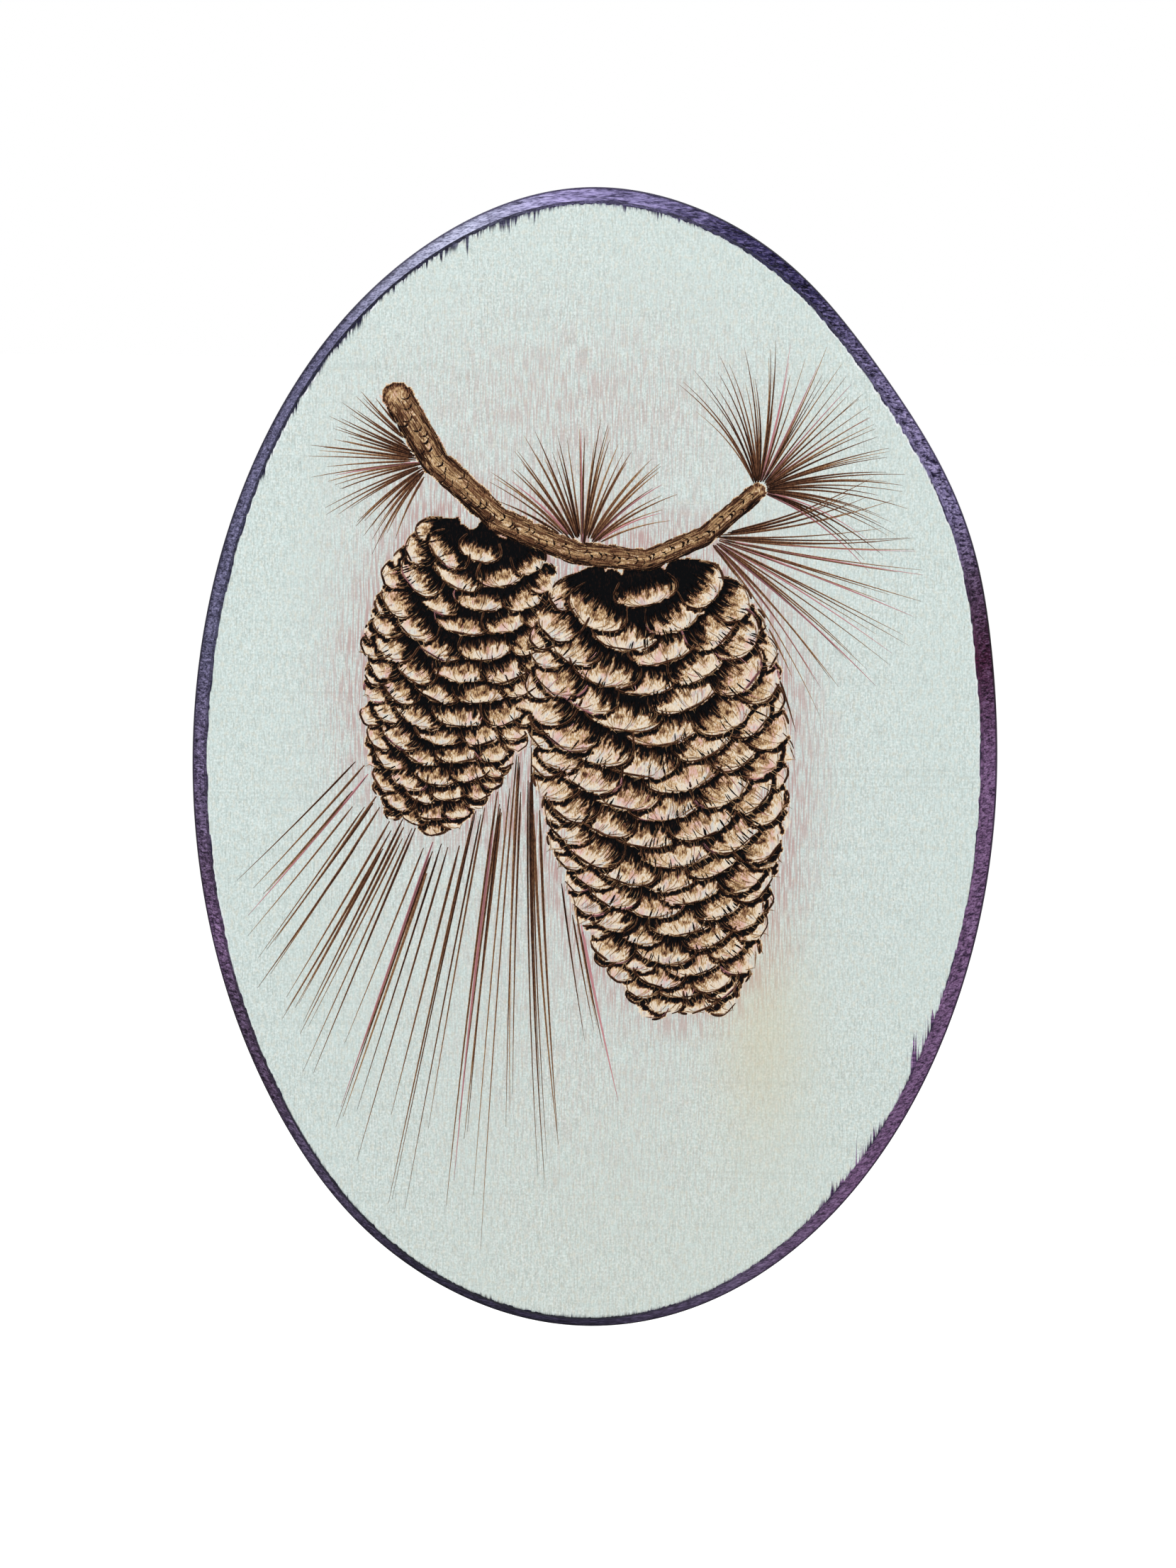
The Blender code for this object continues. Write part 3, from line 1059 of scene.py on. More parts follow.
@dataclass
class Cone:
    """A hanging pine cone. Its scales follow the golden angle round the stalk, as they grow."""

    stalk: tuple
    tilt: float
    length: float
    width: float
    count: int
    seed: int
    scales: list = field(default_factory=list)
    first: int = 0

    def __post_init__(self) -> None:
        """Lays out the scales, those painted first at the start."""
        rng = np.random.default_rng(self.seed)
        found = []
        for n in range(self.count):
            share = 0.03 + 0.95 * (n + 0.5) / self.count
            turn = math.radians(n * GOLDEN_ANGLE)
            if math.cos(turn) > HIDDEN:
                found.append((share - 0.05 * math.cos(turn), self.scale(share, turn, rng)))
        self.scales = [s for _, s in sorted(found, key=lambda pair: -pair[0])]

    @property
    def axis(self) -> np.ndarray:
        """The unit direction from stalk to tip."""
        return np.array((math.sin(math.radians(self.tilt)), -math.cos(math.radians(self.tilt))))

    @property
    def side(self) -> np.ndarray:
        """The unit direction to the right of the axis."""
        return np.array((-self.axis[1], self.axis[0]))

    def half_width(self, share: float | np.ndarray) -> float | np.ndarray:
        """Half the cone's width at a share of its length."""
        return self.width / 2 * np.sin(np.pi * np.clip(share, 0, 1) ** 0.66) ** 0.6

    def scale(self, share: float, turn: float, rng: np.random.Generator) -> Scale:
        """One scale.

        Args:
            share: Its height, 0 at the stalk and 1 at the tip.
            turn: Its place round the axis, 0 facing the viewer.
            rng: For its small departures.

        Returns:
            The scale.
        """
        half = float(self.half_width(share))
        sideways, facing = math.sin(turn), max(0.0, math.cos(turn))
        root = np.array(self.stalk) + self.axis * (share * 0.94 - 0.06) * self.length
        root = root + self.side * half * 0.5 * sideways
        open_out = 0.95 * sideways + rng.normal(0, 0.05)
        along = self.axis * (0.9 - 0.35 * (1 - share) * abs(sideways)) + self.side * open_out
        along /= np.linalg.norm(along)
        size = 0.55 + 0.45 * half / (self.width / 2)
        length = self.width * 0.3 * size * (0.8 + 0.2 * abs(sideways)) * rng.uniform(0.92, 1.08)
        width = self.width * 0.31 * size * (0.45 + 0.55 * facing) * rng.uniform(0.92, 1.1)
        return Scale(root, along, length, width, rng.uniform(-0.08, 0.12))

    def body(self, points: np.ndarray) -> np.ndarray:
        """Finds the cone's core, where only darkness shows between scales.

        Args:
            points: Places in the drawing.

        Returns:
            Which of them are on it.
        """
        rel = points - np.array(self.stalk)
        share = rel @ self.axis / self.length
        return (share > 0) & (share < 0.9) & (np.abs(rel @ self.side) < self.half_width(share) * 0.82)

    def paint(self, canvas: Canvas, first: int) -> None:
        """Shades the cone, scale over scale.

        Args:
            canvas: What it is shaded on.
            first: The number of this cone's first scale.
        """
        self.first = first
        tip = np.array(self.stalk) + self.axis * self.length
        part, places = canvas.window(np.array((self.stalk, tip, tip - self.width, tip + self.width)))
        core = self.body(places)
        canvas.char[part][core], canvas.owner[part][core] = 1.0, first + len(self.scales)
        for i, scale in enumerate(self.scales):
            part, places = canvas.window(scale.bounds)
            char, owner = canvas.char[part], canvas.owner[part]
            wavy = np.stack([wander(places, 0.9, k) + 0.5 * wander(places, 0.4, k + 9) for k in (1, 2)], -1)
            places = places + 0.24 * wavy
            cast, _, _ = scale.local(places, grow=0.5, shift=0.5)
            gloom = cast & (owner >= first)
            char[gloom] = np.maximum(char[gloom], 0.95)
            hit, t, side = scale.local(places)
            char[hit], owner[hit] = self.shade(scale, t[hit], side[hit], i), first + i

    @staticmethod
    def shade(scale: Scale, t: np.ndarray, side: np.ndarray, seed: int) -> np.ndarray:
        """How burnt a scale is.

        Args:
            scale: The scale.
            t: Shares of its length.
            side: Shares of its half width.
            seed: For the rays that the burning leaves.

        Returns:
            A value from 0 to 1 at each place.
        """
        half = scale.half_width(t)
        ray = wander(np.stack((side * scale.width / 0.6, t * scale.length / 3), -1), 1.0, seed)
        rim = np.minimum((1 - np.abs(side)) * half, (1 - t) * scale.length * 0.9) + 0.22 * ray
        lip = smoothstep(1.5, 0.9, rim) * smoothstep(0.42, 0.58, t)
        hollow = 0.12 + scale.shade + 0.1 * side + 0.22 * ray
        umbo = 0.45 * np.exp(-((side * half / 0.6) ** 2) - ((t - 0.78) * scale.length / 0.45) ** 2)
        tone = hollow * (1 - lip) + (0.06 + 0.06 * side + 0.1 * ray) * lip + umbo
        root = smoothstep(0.75, 0.58, t + 0.14 * ray - 0.1 * side**2)
        return np.clip(np.maximum(tone, root), 0.02, 1)

    def burn(self, ink: Strokes, canvas: Canvas) -> None:
        """Draws the strokes of every scale, where the scale shows.

        Args:
            ink: Takes the strokes.
            canvas: Says which scale shows where.
        """
        rng = np.random.default_rng(self.seed + 100)
        for i, scale in enumerate(self.scales):
            found = [*self.rim(scale, rng), *self.fan(scale, rng), *self.ticks(scale, rng)]
            middles = np.array([path[len(path) // 2] for path, _ in found])
            seen = canvas.owner[canvas.cells(middles)] == self.first + i
            for (path, look), shows in zip(found, seen):
                if shows:
                    ink.add(path, **look)

    @staticmethod
    def rim(scale: Scale, rng: np.random.Generator) -> list:
        """Short dashes that follow a scale's edge, and flicks from it over the lip.

        Args:
            scale: The scale.
            rng: For the small departures of the hand.

        Returns:
            The path and the look of each stroke.
        """
        turn = np.linspace(-1, 1, 9) + rng.normal(0, 0.03, 9)
        found = []
        for start, end in zip(turn, turn[1:]):
            at = np.clip(np.linspace(start - 0.04, end + 0.04, 4), -1, 1)
            t = 1 - 0.6 * np.abs(at) ** 1.6 - rng.uniform(0, 0.03)
            path = np.array([scale.point(0.97 * np.sign(a), min(v, 0.995)) for a, v in zip(at, t)])
            look = dict(width=rng.uniform(0.2, 0.45), char=rng.uniform(0.7, 1.0), side=0.45)
            look["taper"] = Taper.LINE
            found.append((path, {**look, "rose": 0.7 * float(rng.random() < 0.06)}))
        for side in rng.uniform(-0.95, 0.95, int(scale.width * 1.4)):
            t = 0.985 - 0.3 * abs(side) ** 3
            shares = (1, 0.96, 0.92 - rng.uniform(0, 0.05))
            path = np.array([scale.point(side * k, t - k + 1) for k in shares])
            look = dict(width=rng.uniform(0.13, 0.22), char=rng.uniform(0.45, 0.9), side=0.25, fade=0.3)
            found.append((path, look))
        return found

    @staticmethod
    def fan(scale: Scale, rng: np.random.Generator) -> list:
        """Flicked strokes that spread from the dark root towards the lip.

        Args:
            scale: The scale.
            rng: For the small departures of the hand.

        Returns:
            The path and the look of each stroke.
        """
        found = []
        for side in np.linspace(-0.92, 0.92, max(6, int(scale.width * 2.2))):
            start, end = rng.uniform(0.42, 0.58), rng.uniform(0.62, 0.84)
            lean = side + rng.normal(0, 0.06)
            shaky = zip((1, 1.01, 0.99, 1), np.linspace(start, end, 4))
            path = np.array([scale.point(lean * k, t) for k, t in shaky])
            look = dict(width=rng.uniform(0.16, 0.34), char=rng.uniform(0.65, 1.0), side=0.35, fade=0.3)
            found.append((path, {**look, "root": 1.0}))
        return found

    @staticmethod
    def ticks(scale: Scale, rng: np.random.Generator) -> list:
        """Fine brown hatching in the hollow, more of it on the right.

        Args:
            scale: The scale.
            rng: For the small departures of the hand.

        Returns:
            The path and the look of each stroke.
        """
        found = []
        for _ in range(int(scale.width * 1.1)):
            side = rng.uniform(-0.7, 0.95) * np.sign(scale.across[0] + 1e-9)
            start = rng.uniform(0.6, 0.84)
            reach = np.linspace(start, start + rng.uniform(0.1, 0.22), 3)
            path = np.array([scale.point(side, t) for t in reach])
            look = dict(width=rng.uniform(0.13, 0.2), char=rng.uniform(0.35, 0.65), side=0.22)
            found.append((path, {**look, "rose": 0.7 * float(rng.random() < 0.06)}))
        return found


@dataclass(frozen=True)
class Tuft:
    """Pine needles that fan out from one bud."""

    bud: tuple
    toward: float
    spread: float
    count: int
    length: float
    bend: float
    seed: int
    limit: tuple = (57.5, 83.5)  # half the width and height of the oval that the needles stay in

    def burn(self, ink: Strokes, canvas: Canvas) -> None:
        """Draws the needles.

        Args:
            ink: Takes the strokes.
            canvas: Says what they are behind.
        """
        rng = np.random.default_rng(self.seed)
        for share in rng.permutation(np.linspace(-0.5, 0.5, self.count)):
            turn = math.radians(self.toward + self.spread * share + rng.normal(0, 2))
            way = np.array((math.cos(turn), math.sin(turn)))
            aside = np.array((-way[1], way[0]))
            length = self.length * rng.uniform(0.78, 1.05) * (1 - 0.25 * abs(share) * 2)
            bow = self.bend * share * 2 + rng.normal(0, 0.03)
            t = np.linspace(0, 1, ink.points)[:, None]
            path = np.array(self.bud) + way * t * length + aside * bow * length * t**2 * 0.5
            path[:, 1] -= 0.06 * length * t[:, 0] ** 2
            on_face = np.linalg.norm(path / self.limit, axis=1) < 1
            seen = on_face & (canvas.owner[canvas.cells(path)] < 0)
            for start, end in runs(seen, 4):
                whole = Taper.LEAF if start == 0 else Taper.FLICK
                piece = path[start:end]
                pink = 0.8 * float(rng.random() < 0.1)
                width, char = rng.uniform(0.45, 0.72), rng.uniform(0.6, 0.92)
                ink.add(piece, width, char, 0.34, whole, pink, fade=0.25)
                dark = piece[: max(3, int(len(piece) * rng.uniform(0.3, 0.75)))]
                ink.add(dark, rng.uniform(0.25, 0.4), 1.0, 0.75, Taper.FLICK)


def runs(seen: np.ndarray, least: int) -> list:
    """The stretches of True in a row of booleans that have at least so many places."""
    edges = np.flatnonzero(np.diff(np.r_[False, seen, False].astype(int)))
    return [(a, b) for a, b in zip(edges[::2], edges[1::2]) if b - a >= least]


@dataclass(frozen=True)
class Twig:
    """A short woody twig with peeling bark."""

    route: tuple
    thick: float
    thin: float
    seed: int

    def half(self, at: float) -> float:
        """Half its thickness at a distance along it."""
        return np.interp(at, (0, self.length), (self.thick, self.thin)) / 2

    @property
    def line(self) -> np.ndarray:
        """Its points."""
        return np.array(self.route, float)

    @property
    def length(self) -> float:
        """Its length."""
        return follow(self.line)[-1]

    def paint(self, canvas: Canvas, number: int) -> None:
        """Shades the twig and its shadow on what is behind it.

        Args:
            canvas: What it is shaded on.
            number: The twig's own number.
        """
        for at in np.arange(0, self.length, 0.15):
            centre, reach = follow(self.line, at), self.half(at)
            part, places = canvas.window(centre + np.array(((-4, -4), (4, 4))))
            away = np.linalg.norm(places - centre, axis=-1) + 0.25 * wander(places, 0.8, self.seed)
            under = np.linalg.norm(places - centre + (0, 1.3), axis=-1) < reach
            gloom = under & (canvas.owner[part] >= 0) & (canvas.owner[part] != number)
            canvas.char[part][gloom] = 0.97
            hit, held = away < reach, canvas.owner[part] == number
            canvas.owner[part][hit] = number
            round_off = 0.3 + 0.55 * (away[hit] / reach) ** 3
            canvas.char[part][hit] = np.minimum(round_off, np.where(held[hit], canvas.char[part][hit], 1))

    def burn(self, ink: Strokes) -> None:
        """Draws the bark as many short strokes along the twig, dark at its sides, and its peeling edges.

        Args:
            ink: Takes the strokes.
        """
        rng = np.random.default_rng(self.seed)
        for _ in range(int(self.length * 17)):
            at, side = rng.uniform(0, self.length), rng.uniform(-1, 1)
            side = np.sign(side) * abs(side) ** 0.75
            centre = follow(self.line, at + np.linspace(0, rng.uniform(1.0, 2.8), 4))
            way = centre[-1] - centre[0]
            if np.linalg.norm(way) < 0.4:
                continue
            way /= np.linalg.norm(way)
            path = centre + np.array((way[1], -way[0])) * side * self.half(at)
            dark = 0.5 + 0.5 * abs(side) ** 2 + 0.15 * side
            width, char = rng.uniform(0.2, 0.45), min(1.0, dark + rng.uniform(-0.25, 0.25))
            ink.add(path, width, char, 0.35, Taper.LEAF)
        spots = np.arange(1.0, self.length - 1, 1.1)
        for at in spots + rng.uniform(-0.5, 0.5, len(spots)):
            ends = follow(self.line, np.array((at, at + 0.5)))
            way = (ends[1] - ends[0]) / np.linalg.norm(ends[1] - ends[0])
            aside = np.array((way[1], -way[0])) * self.half(at)
            middle = rng.uniform(-0.6, 0.6)
            turn = np.linspace(-1, 1, 5)
            path = [ends[0] + aside * (middle + 0.38 * k) + way * 0.55 * (1 - k * k) for k in turn]
            ink.add(path, rng.uniform(0.3, 0.5), 0.98, 0.6, Taper.LEAF)


@dataclass
class Drawing:
    """The whole burnt drawing: two cones, tufts of needles and the twig that carries them."""

    # The stalk's place, the tilt in degrees, the length, the width, the scales all round and the seed
    cones: tuple = (((-17, 36), -12, 50, 30, 140, 8), ((7, 30), 7, 74, 41, 190, 3))
    twig: Twig = Twig(((-31, 57), (-25, 47), (-15, 38), (-3, 33), (8, 32), (17, 36), (25, 43)), 4.6, 2.6, 5)
    # The bud's place, the way the needles point and their spread in degrees, the number, length, bend, seed
    tufts: tuple = (
        Tuft((25, 43), 48, 130, 60, 27, 0.5, 11),
        Tuft((17, 36), -28, 74, 44, 36, 0.5, 12),
        Tuft((-25, 47), 182, 96, 44, 20, 0.4, 13),
        Tuft((-9, 34), -104, 44, 60, 108, 0.25, 14),
        Tuft((-2, 33), 96, 110, 50, 22, 0.4, 15),
    )

    def __post_init__(self) -> None:
        """Shades the cones and lays down every stroke."""
        self.canvas = Canvas()
        needles, bark = Strokes("burnt_needles", 14), Strokes("burnt_twig", 5)
        small, large = Strokes("burnt_small_cone"), Strokes("burnt_large_cone")
        behind, front = (Cone(*sizes) for sizes in self.cones)
        behind.paint(self.canvas, 0)
        front.paint(self.canvas, 1000)
        self.twig.paint(self.canvas, 5000)
        for tuft in self.tufts:
            tuft.burn(needles, self.canvas)
        self.twig.burn(bark)
        behind.burn(small, self.canvas)
        front.burn(large, self.canvas)
        self.sets = (needles, bark, small, large)
        self.canvas.marked[self.canvas.owner >= 0] = 1
        for strokes in self.sets:
            self.canvas.marked[self.canvas.cells(np.concatenate(strokes.paths))] = 1


# ---------------------------------------------------------------- the board's pieces


@dataclass
class Quilt:
    """Square cells of several sizes over the middle of the face, small where the drawing is."""

    step: float = 0.235 * MM
    sizes: tuple = (8, 4, 2, 1)

    def build(self, board: Board, margin: float, canvas: Canvas) -> tuple:
        """Lays the cells.

        Args:
            board: The board.
            margin: How far the cells stay inside the bevel.
            canvas: Says where cells have to be small.

        Returns:
            The points as (x, z) from the centre, the faces, and the border as a loop of point numbers.
        """
        top = self.sizes[0]
        nx, nz = (math.ceil(s / 2 / self.step / top) * top for s in (board.width, board.height))
        across, up = np.arange(-nx, nx + 1), np.arange(-nz, nz + 1)
        places = np.stack(np.meshgrid(across, up, indexing="ij"), 2).reshape(-1, 2) * self.step
        shape = (len(across), len(up))
        inside = (board.inside(places, 1.0, margin)[0] > 0).reshape(shape)
        busy = (canvas.char[canvas.cells(places / MM)] > 0).reshape(shape)
        cells = self.split(inside, busy)
        corner = np.zeros(shape, bool)
        for i, j, size in cells:
            corner[i : i + size + 1 : size, j : j + size + 1 : size] = True
        number = np.full(shape, -1)
        number[corner] = np.arange(corner.sum())
        faces = [self.outline(i, j, size, number) for i, j, size in cells]
        used = np.argwhere(corner) - (nx, nz)
        return used * self.step, faces, self.border(faces)

    def split(self, inside: np.ndarray, busy: np.ndarray) -> list:
        """Cuts the largest cells where they cross the border, down to twice the step, or hold a busy place.

        Args:
            inside: Which grid points are well inside the outline.
            busy: Which grid points are burnt.

        Returns:
            (column, row, size) of each cell, in steps.
        """
        top = self.sizes[0]
        starts = [range(0, count - 1, top) for count in inside.shape]
        waiting = [(i, j, top) for i in starts[0] for j in starts[1]]
        cells = []
        while waiting:
            i, j, size = waiting.pop()
            held = inside[i : i + size + 1 : size, j : j + size + 1 : size]
            detailed = size > 1 and busy[i : i + size + 1, j : j + size + 1].any()
            if held.all() and not detailed:
                cells.append((i, j, size))
            elif held.any() and (detailed or size > 2):
                half = size // 2
                waiting += [(i + a, j + b, half) for a in (0, half) for b in (0, half)]
        return cells

    @staticmethod
    def outline(i: int, j: int, size: int, number: np.ndarray) -> list:
        """Walks round a cell, taking in any corner of a smaller neighbour on its sides.

        Args:
            i: Its column.
            j: Its row.
            size: Its size in steps.
            number: The number of each grid point that is a corner, or -1.

        Returns:
            Its point numbers, anticlockwise from the front.
        """
        walk = [(i + k, j) for k in range(size)] + [(i + size, j + k) for k in range(size)]
        walk += [(i + size - k, j + size) for k in range(size)] + [(i, j + size - k) for k in range(size)]
        return [int(number[p]) for p in walk if number[p] >= 0]

    @staticmethod
    def border(faces: list) -> list:
        """Finds the loop of edges that only one face has.

        Args:
            faces: The faces, as lists of point numbers.

        Returns:
            The loop's point numbers, anticlockwise.
        """
        edges = {(f[k - 1], f[k]) for f in faces for k in range(len(f))}
        following = {a: b for a, b in edges if (b, a) not in edges}
        start = point = next(iter(following))
        loop = [start]
        while (point := following[point]) != start:
            loop.append(point)
        return loop


def stitch(inner: list, outer: list, points: np.ndarray) -> list:
    """Triangles between two loops that both run anticlockwise round the centre.

    Args:
        inner: The inner loop's point numbers.
        outer: The outer loop's point numbers.
        points: All points as (x, z) from the centre.

    Returns:
        The faces.
    """
    rows = []
    for loop in (inner, outer):
        turn = np.arctan2(points[loop, 1], points[loop, 0])
        start = int(np.argmin(turn))
        row = np.roll(loop, -start)
        rows.append(np.r_[row, row[0]].tolist())
    a, b = rows
    faces, i, j = [], 0, 0
    while i < len(a) - 1 or j < len(b) - 1:
        here, there = points[a[i]], points[b[j]]
        step_a, step_b = points[a[min(i + 1, len(a) - 1)]], points[b[min(j + 1, len(b) - 1)]]
        fits_a, fits_b = turns_left(here, there, step_a), turns_left(here, there, step_b)
        shorter = np.linalg.norm(step_a - there) < np.linalg.norm(step_b - here)
        if fits_a and (shorter or not fits_b):
            faces.append((a[i], b[j], a[i + 1]))
            i += 1
        else:
            faces.append((a[i], b[j], b[j + 1]))
            j += 1
    return faces


def turns_left(first: np.ndarray, second: np.ndarray, third: np.ndarray) -> bool:
    """Whether three points of the plane run anticlockwise, with some room between them."""
    one, two = second - first, third - first
    return one[0] * two[1] - one[1] * two[0] > 1e-10


@dataclass
class FaceVeneer:
    """The drawn face: the pale veneer, its dyed rim and its share of the bevel."""

    points: int = 1200
    rim: tuple = (1.6, 1.0, 0.55, 0.25, 0.1)  # loops inside the arris, in millimetres
    eased: tuple = ((0.02, 0.012), (-0.03, 0.05))  # loops over the arris: how far inside it and how deep
    rows: int = 6
    top_row: float = 0.14 * MM
    skin: float = 0.01 * MM  # points less deep than this are on the face
    end_grain: str = "#1c1c30"  # the dye where it soaked into the ends of the fibres
    # How much of that shows: degrees, spread in degrees, share
    soaks: tuple = ((115, 42, 1.0), (56, 22, 0.3), (250, 38, 0.85), (190, 40, 0.3), (5, 20, 0.15))
    # Where a line of white ground shows beside the dye: degrees, spread in degrees, share
    missed: tuple = ((50, 26, 0.6), (8, 14, 0.4), (200, 16, 0.4), (124, 20, 0.7))
    # Where the wash and a straw-coloured stain lie thicker: x, z, half width, half height, strength
    washes: tuple = ((-4, 56, 26, 13, 0.4), (-37, 18, 7, 26, 0.3), (0, -8, 33, 66, 0.4))
    straws: tuple = ((27, -42, 7, 16, 0.35), (14, -80, 50, 45, 0.07))

    def build(self, board: Board, canvas: Canvas, finish: bpy.types.Material) -> bpy.types.Object:
        """Makes the piece.

        Args:
            board: The board.
            canvas: What is burnt into it.
            finish: Its material.

        Returns:
            The object.
        """
        points, faces, border = Quilt().build(board, (self.rim[0] + 0.3) * MM, canvas)
        levels = [(1.0, r * MM, 0.0) for r in self.rim]
        levels += [(1.0, more * MM, d * MM) for more, d in self.eased]
        levels += [(board.bevel(d), 0.0, d) for d in np.linspace(self.top_row, board.face_ply, self.rows)]
        loops = [board.loop(self.points, slope, more) for slope, more, _ in levels]
        first = len(points)
        plane = np.concatenate([points, *loops])
        depth = np.concatenate([np.zeros(first), *(np.full(self.points, d) for *_, d in levels)])
        faces += stitch(border, list(range(first, first + self.points)), plane)
        faces += pile(len(levels), self.points, first)
        on_face = depth < self.skin
        y = board.face_y + depth + np.where(on_face, canvas.sink(plane / MM), 0) * MM
        piece = add_piece("face_wood", board.lift(plane, y), faces, finish)
        set_field(piece, "char", np.where(on_face, canvas.read(canvas.char, plane / MM), 0))
        rubbed = smoothstep(0.0, 0.55, canvas.haze(plane / MM, 8.0)) * 0.95
        set_field(piece, "wash", np.maximum(rubbed, self.patches(plane / MM, self.washes)))
        self.fields(piece, board, plane, depth)
        return piece

    def fields(self, piece: bpy.types.Object, board: Board, plane: np.ndarray, depth: np.ndarray) -> None:
        """Stores what else the material reads.

        Args:
            piece: The face's object.
            board: The board.
            plane: Its points as (x, z) from the centre.
            depth: Their depth below the face.
        """
        near, along = board.inside(plane, 1.0)
        under = depth > self.skin
        set_field(piece, "straw", self.patches(plane / MM, self.straws))
        set_field(piece, "near", np.where(under, -depth, near) / MM)
        set_field(piece, "along", np.where(under, -depth, along) / MM)
        angle = degrees_round(plane)
        set_field(piece, "bleed", board.creep(plane))
        set_field(piece, "missed", board.gather(angle, self.missed) * ~under)
        ends = board.gather(angle, self.soaks)
        share = (ends.clip(0, 0.985) * np.where(under, 1, 0.85))[:, None]
        set_field(piece, "dye", board.dye(plane) * (1 - share) + np.array(linear(self.end_grain)) * share)

    @staticmethod
    def patches(points: np.ndarray, places: tuple) -> np.ndarray:
        """Adds up soft oval patches.

        Args:
            points: Places in millimetres.
            places: (x, z, half width, half height, strength) of each patch.

        Returns:
            The sum at each point, 1 at most.
        """
        total = np.zeros(len(points))
        for x, z, wide, high, strength in places:
            away = ((points - (x, z)) / (wide, high)) ** 2
            total += strength * np.exp(-away.sum(1))
        return total.clip(0, 1)


@dataclass
class CorePly:
    """The core where the bevel cuts it, with torn cross-grain fibres."""

    points: int = 2600
    rows: int = 18
    tear: float = 0.5 * MM
    joint: float = 0.04 * MM  # how far it stays inside the other plies where they meet
    # Where the cutter ran against the fibres and tore more: degrees, spread in degrees, share over 0.3
    tears: tuple = ((52, 34, 0.8), (178, 40, 0.3), (335, 36, 0.35), (215, 26, 0.25))
    # Where painted shade darkens the core towards its outer edge: degrees, spread in degrees, share
    edge_shades: tuple = ((125, 30, 0.75), (172, 22, 0.4), (222, 26, 0.5), (262, 30, 0.4), (40, 40, 0.25))

    def build(self, board: Board, finish: bpy.types.Material) -> bpy.types.Object:
        """Makes the piece.

        Args:
            board: The board.
            finish: Its material.

        Returns:
            The object.
        """
        total = board.back_y - board.face_y
        depths = np.linspace(board.face_ply, total - board.back_ply, self.rows)
        plane, y, deep, share = [], [], [], []
        for k, depth in enumerate(depths):
            loop = board.loop(self.points, board.bevel(depth))
            rough = 0.3 + board.gather(degrees_round(loop), self.tears)
            wear = np.full(self.points, self.joint)
            if 0 < k < self.rows - 1:
                wear = rough * self.torn(loop, depth)
            inward = loop / np.linalg.norm(loop, axis=1)[:, None]
            deep.append(wear / self.tear)
            share.append(rough + 0.25)
            plane.append(loop - inward * wear[:, None])
            y.append(np.full(self.points, board.face_y + depth))
        faces = [list(range(self.points)), *pile(self.rows, self.points)]
        down = (depths - board.face_ply) / (board.bevel_depth - board.face_ply)
        plane = np.concatenate(plane)
        # painted shade: the dye is darkened towards the outer edge of the bevel, and the dye field carries it
        edge_shade = board.gather(degrees_round(plane), self.edge_shades).clip(0, 0.85)
        edge_shade = 1 - np.repeat(smoothstep(0.55, 0.95, down), self.points) * edge_shade
        piece = add_piece("core_wood", board.lift(plane, np.concatenate(y)), faces, finish)
        piece.data.set_sharp_from_angle(angle=math.radians(60))
        set_field(piece, "dye", board.dye(plane) * edge_shade[:, None])
        set_field(piece, "deep", np.concatenate(deep))
        set_field(piece, "rough", np.concatenate(share))
        return piece

    def torn(self, loop: np.ndarray, depth: float) -> np.ndarray:
        """How far the cutter tore the core inwards, in long thin furrows along X.

        Args:
            loop: (x, z) of points round the bevel.
            depth: Their depth below the face.

        Returns:
            A distance for each.
        """
        found = []
        for x, z in loop / MM:
            sway = noise.noise(Vector((x / 2.0, depth / MM / 1.6, z / 2.0)))
            place = Vector((x / 2.4, depth / MM / 2.0, z / 0.5 + 0.8 * sway))
            found.append(abs(noise.noise(place)) * 1.3 + 0.5 * abs(noise.noise(place * 2.3)))
        return self.tear * np.array(found)


@dataclass
class BackVeneer:
    """The bare back, with its square edge and eased arris."""

    points: int = 720
    rings: tuple = (0.5, 1.2, 2.2, 4.0, 7.0)  # loops inside the arris, in millimetres
    shares: tuple = (0.75, 0.5, 0.25)

    def build(self, board: Board, finish: bpy.types.Material) -> bpy.types.Object:
        """Makes the piece.

        Args:
            board: The board.
            finish: Its material.

        Returns:
            The object.
        """
        total = board.back_y - board.face_y
        start = total - board.back_ply
        depths = [start, (start + board.bevel_depth) / 2, board.bevel_depth, total - board.arris]
        levels = [(board.bevel(d), 0.0, d) for d in depths]
        levels += [(0.0, board.arris * 0.3, total - board.arris * 0.3), (0.0, board.arris, total)]
        levels += [(0.0, board.arris + r * MM, total) for r in self.rings]
        loops = [board.loop(self.points, slope, more) for slope, more, _ in levels]
        loops += [loops[-1] * share for share in self.shares]
        depth = [d for *_, d in levels] + [total] * len(self.shares)
        faces = [list(range(self.points)), *pile(len(loops), self.points)]
        plane = np.concatenate(loops)
        deep = np.repeat(depth, self.points)
        piece = add_piece("back_wood", board.lift(plane, board.face_y + deep), faces, finish)
        piece.data.set_sharp_from_angle(angle=math.radians(40))
        near, along = board.inside(plane, 0.0, board.arris)
        outside = deep < total - 0.01 * MM
        set_field(piece, "near", np.where(outside, deep - total, near) / MM)
        set_field(piece, "along", np.where(outside, deep - total, along) / MM)
        set_field(piece, "bleed", board.creep(plane) * 0.8 + 0.15)
        set_field(piece, "dye", board.dye(plane))
        return piece


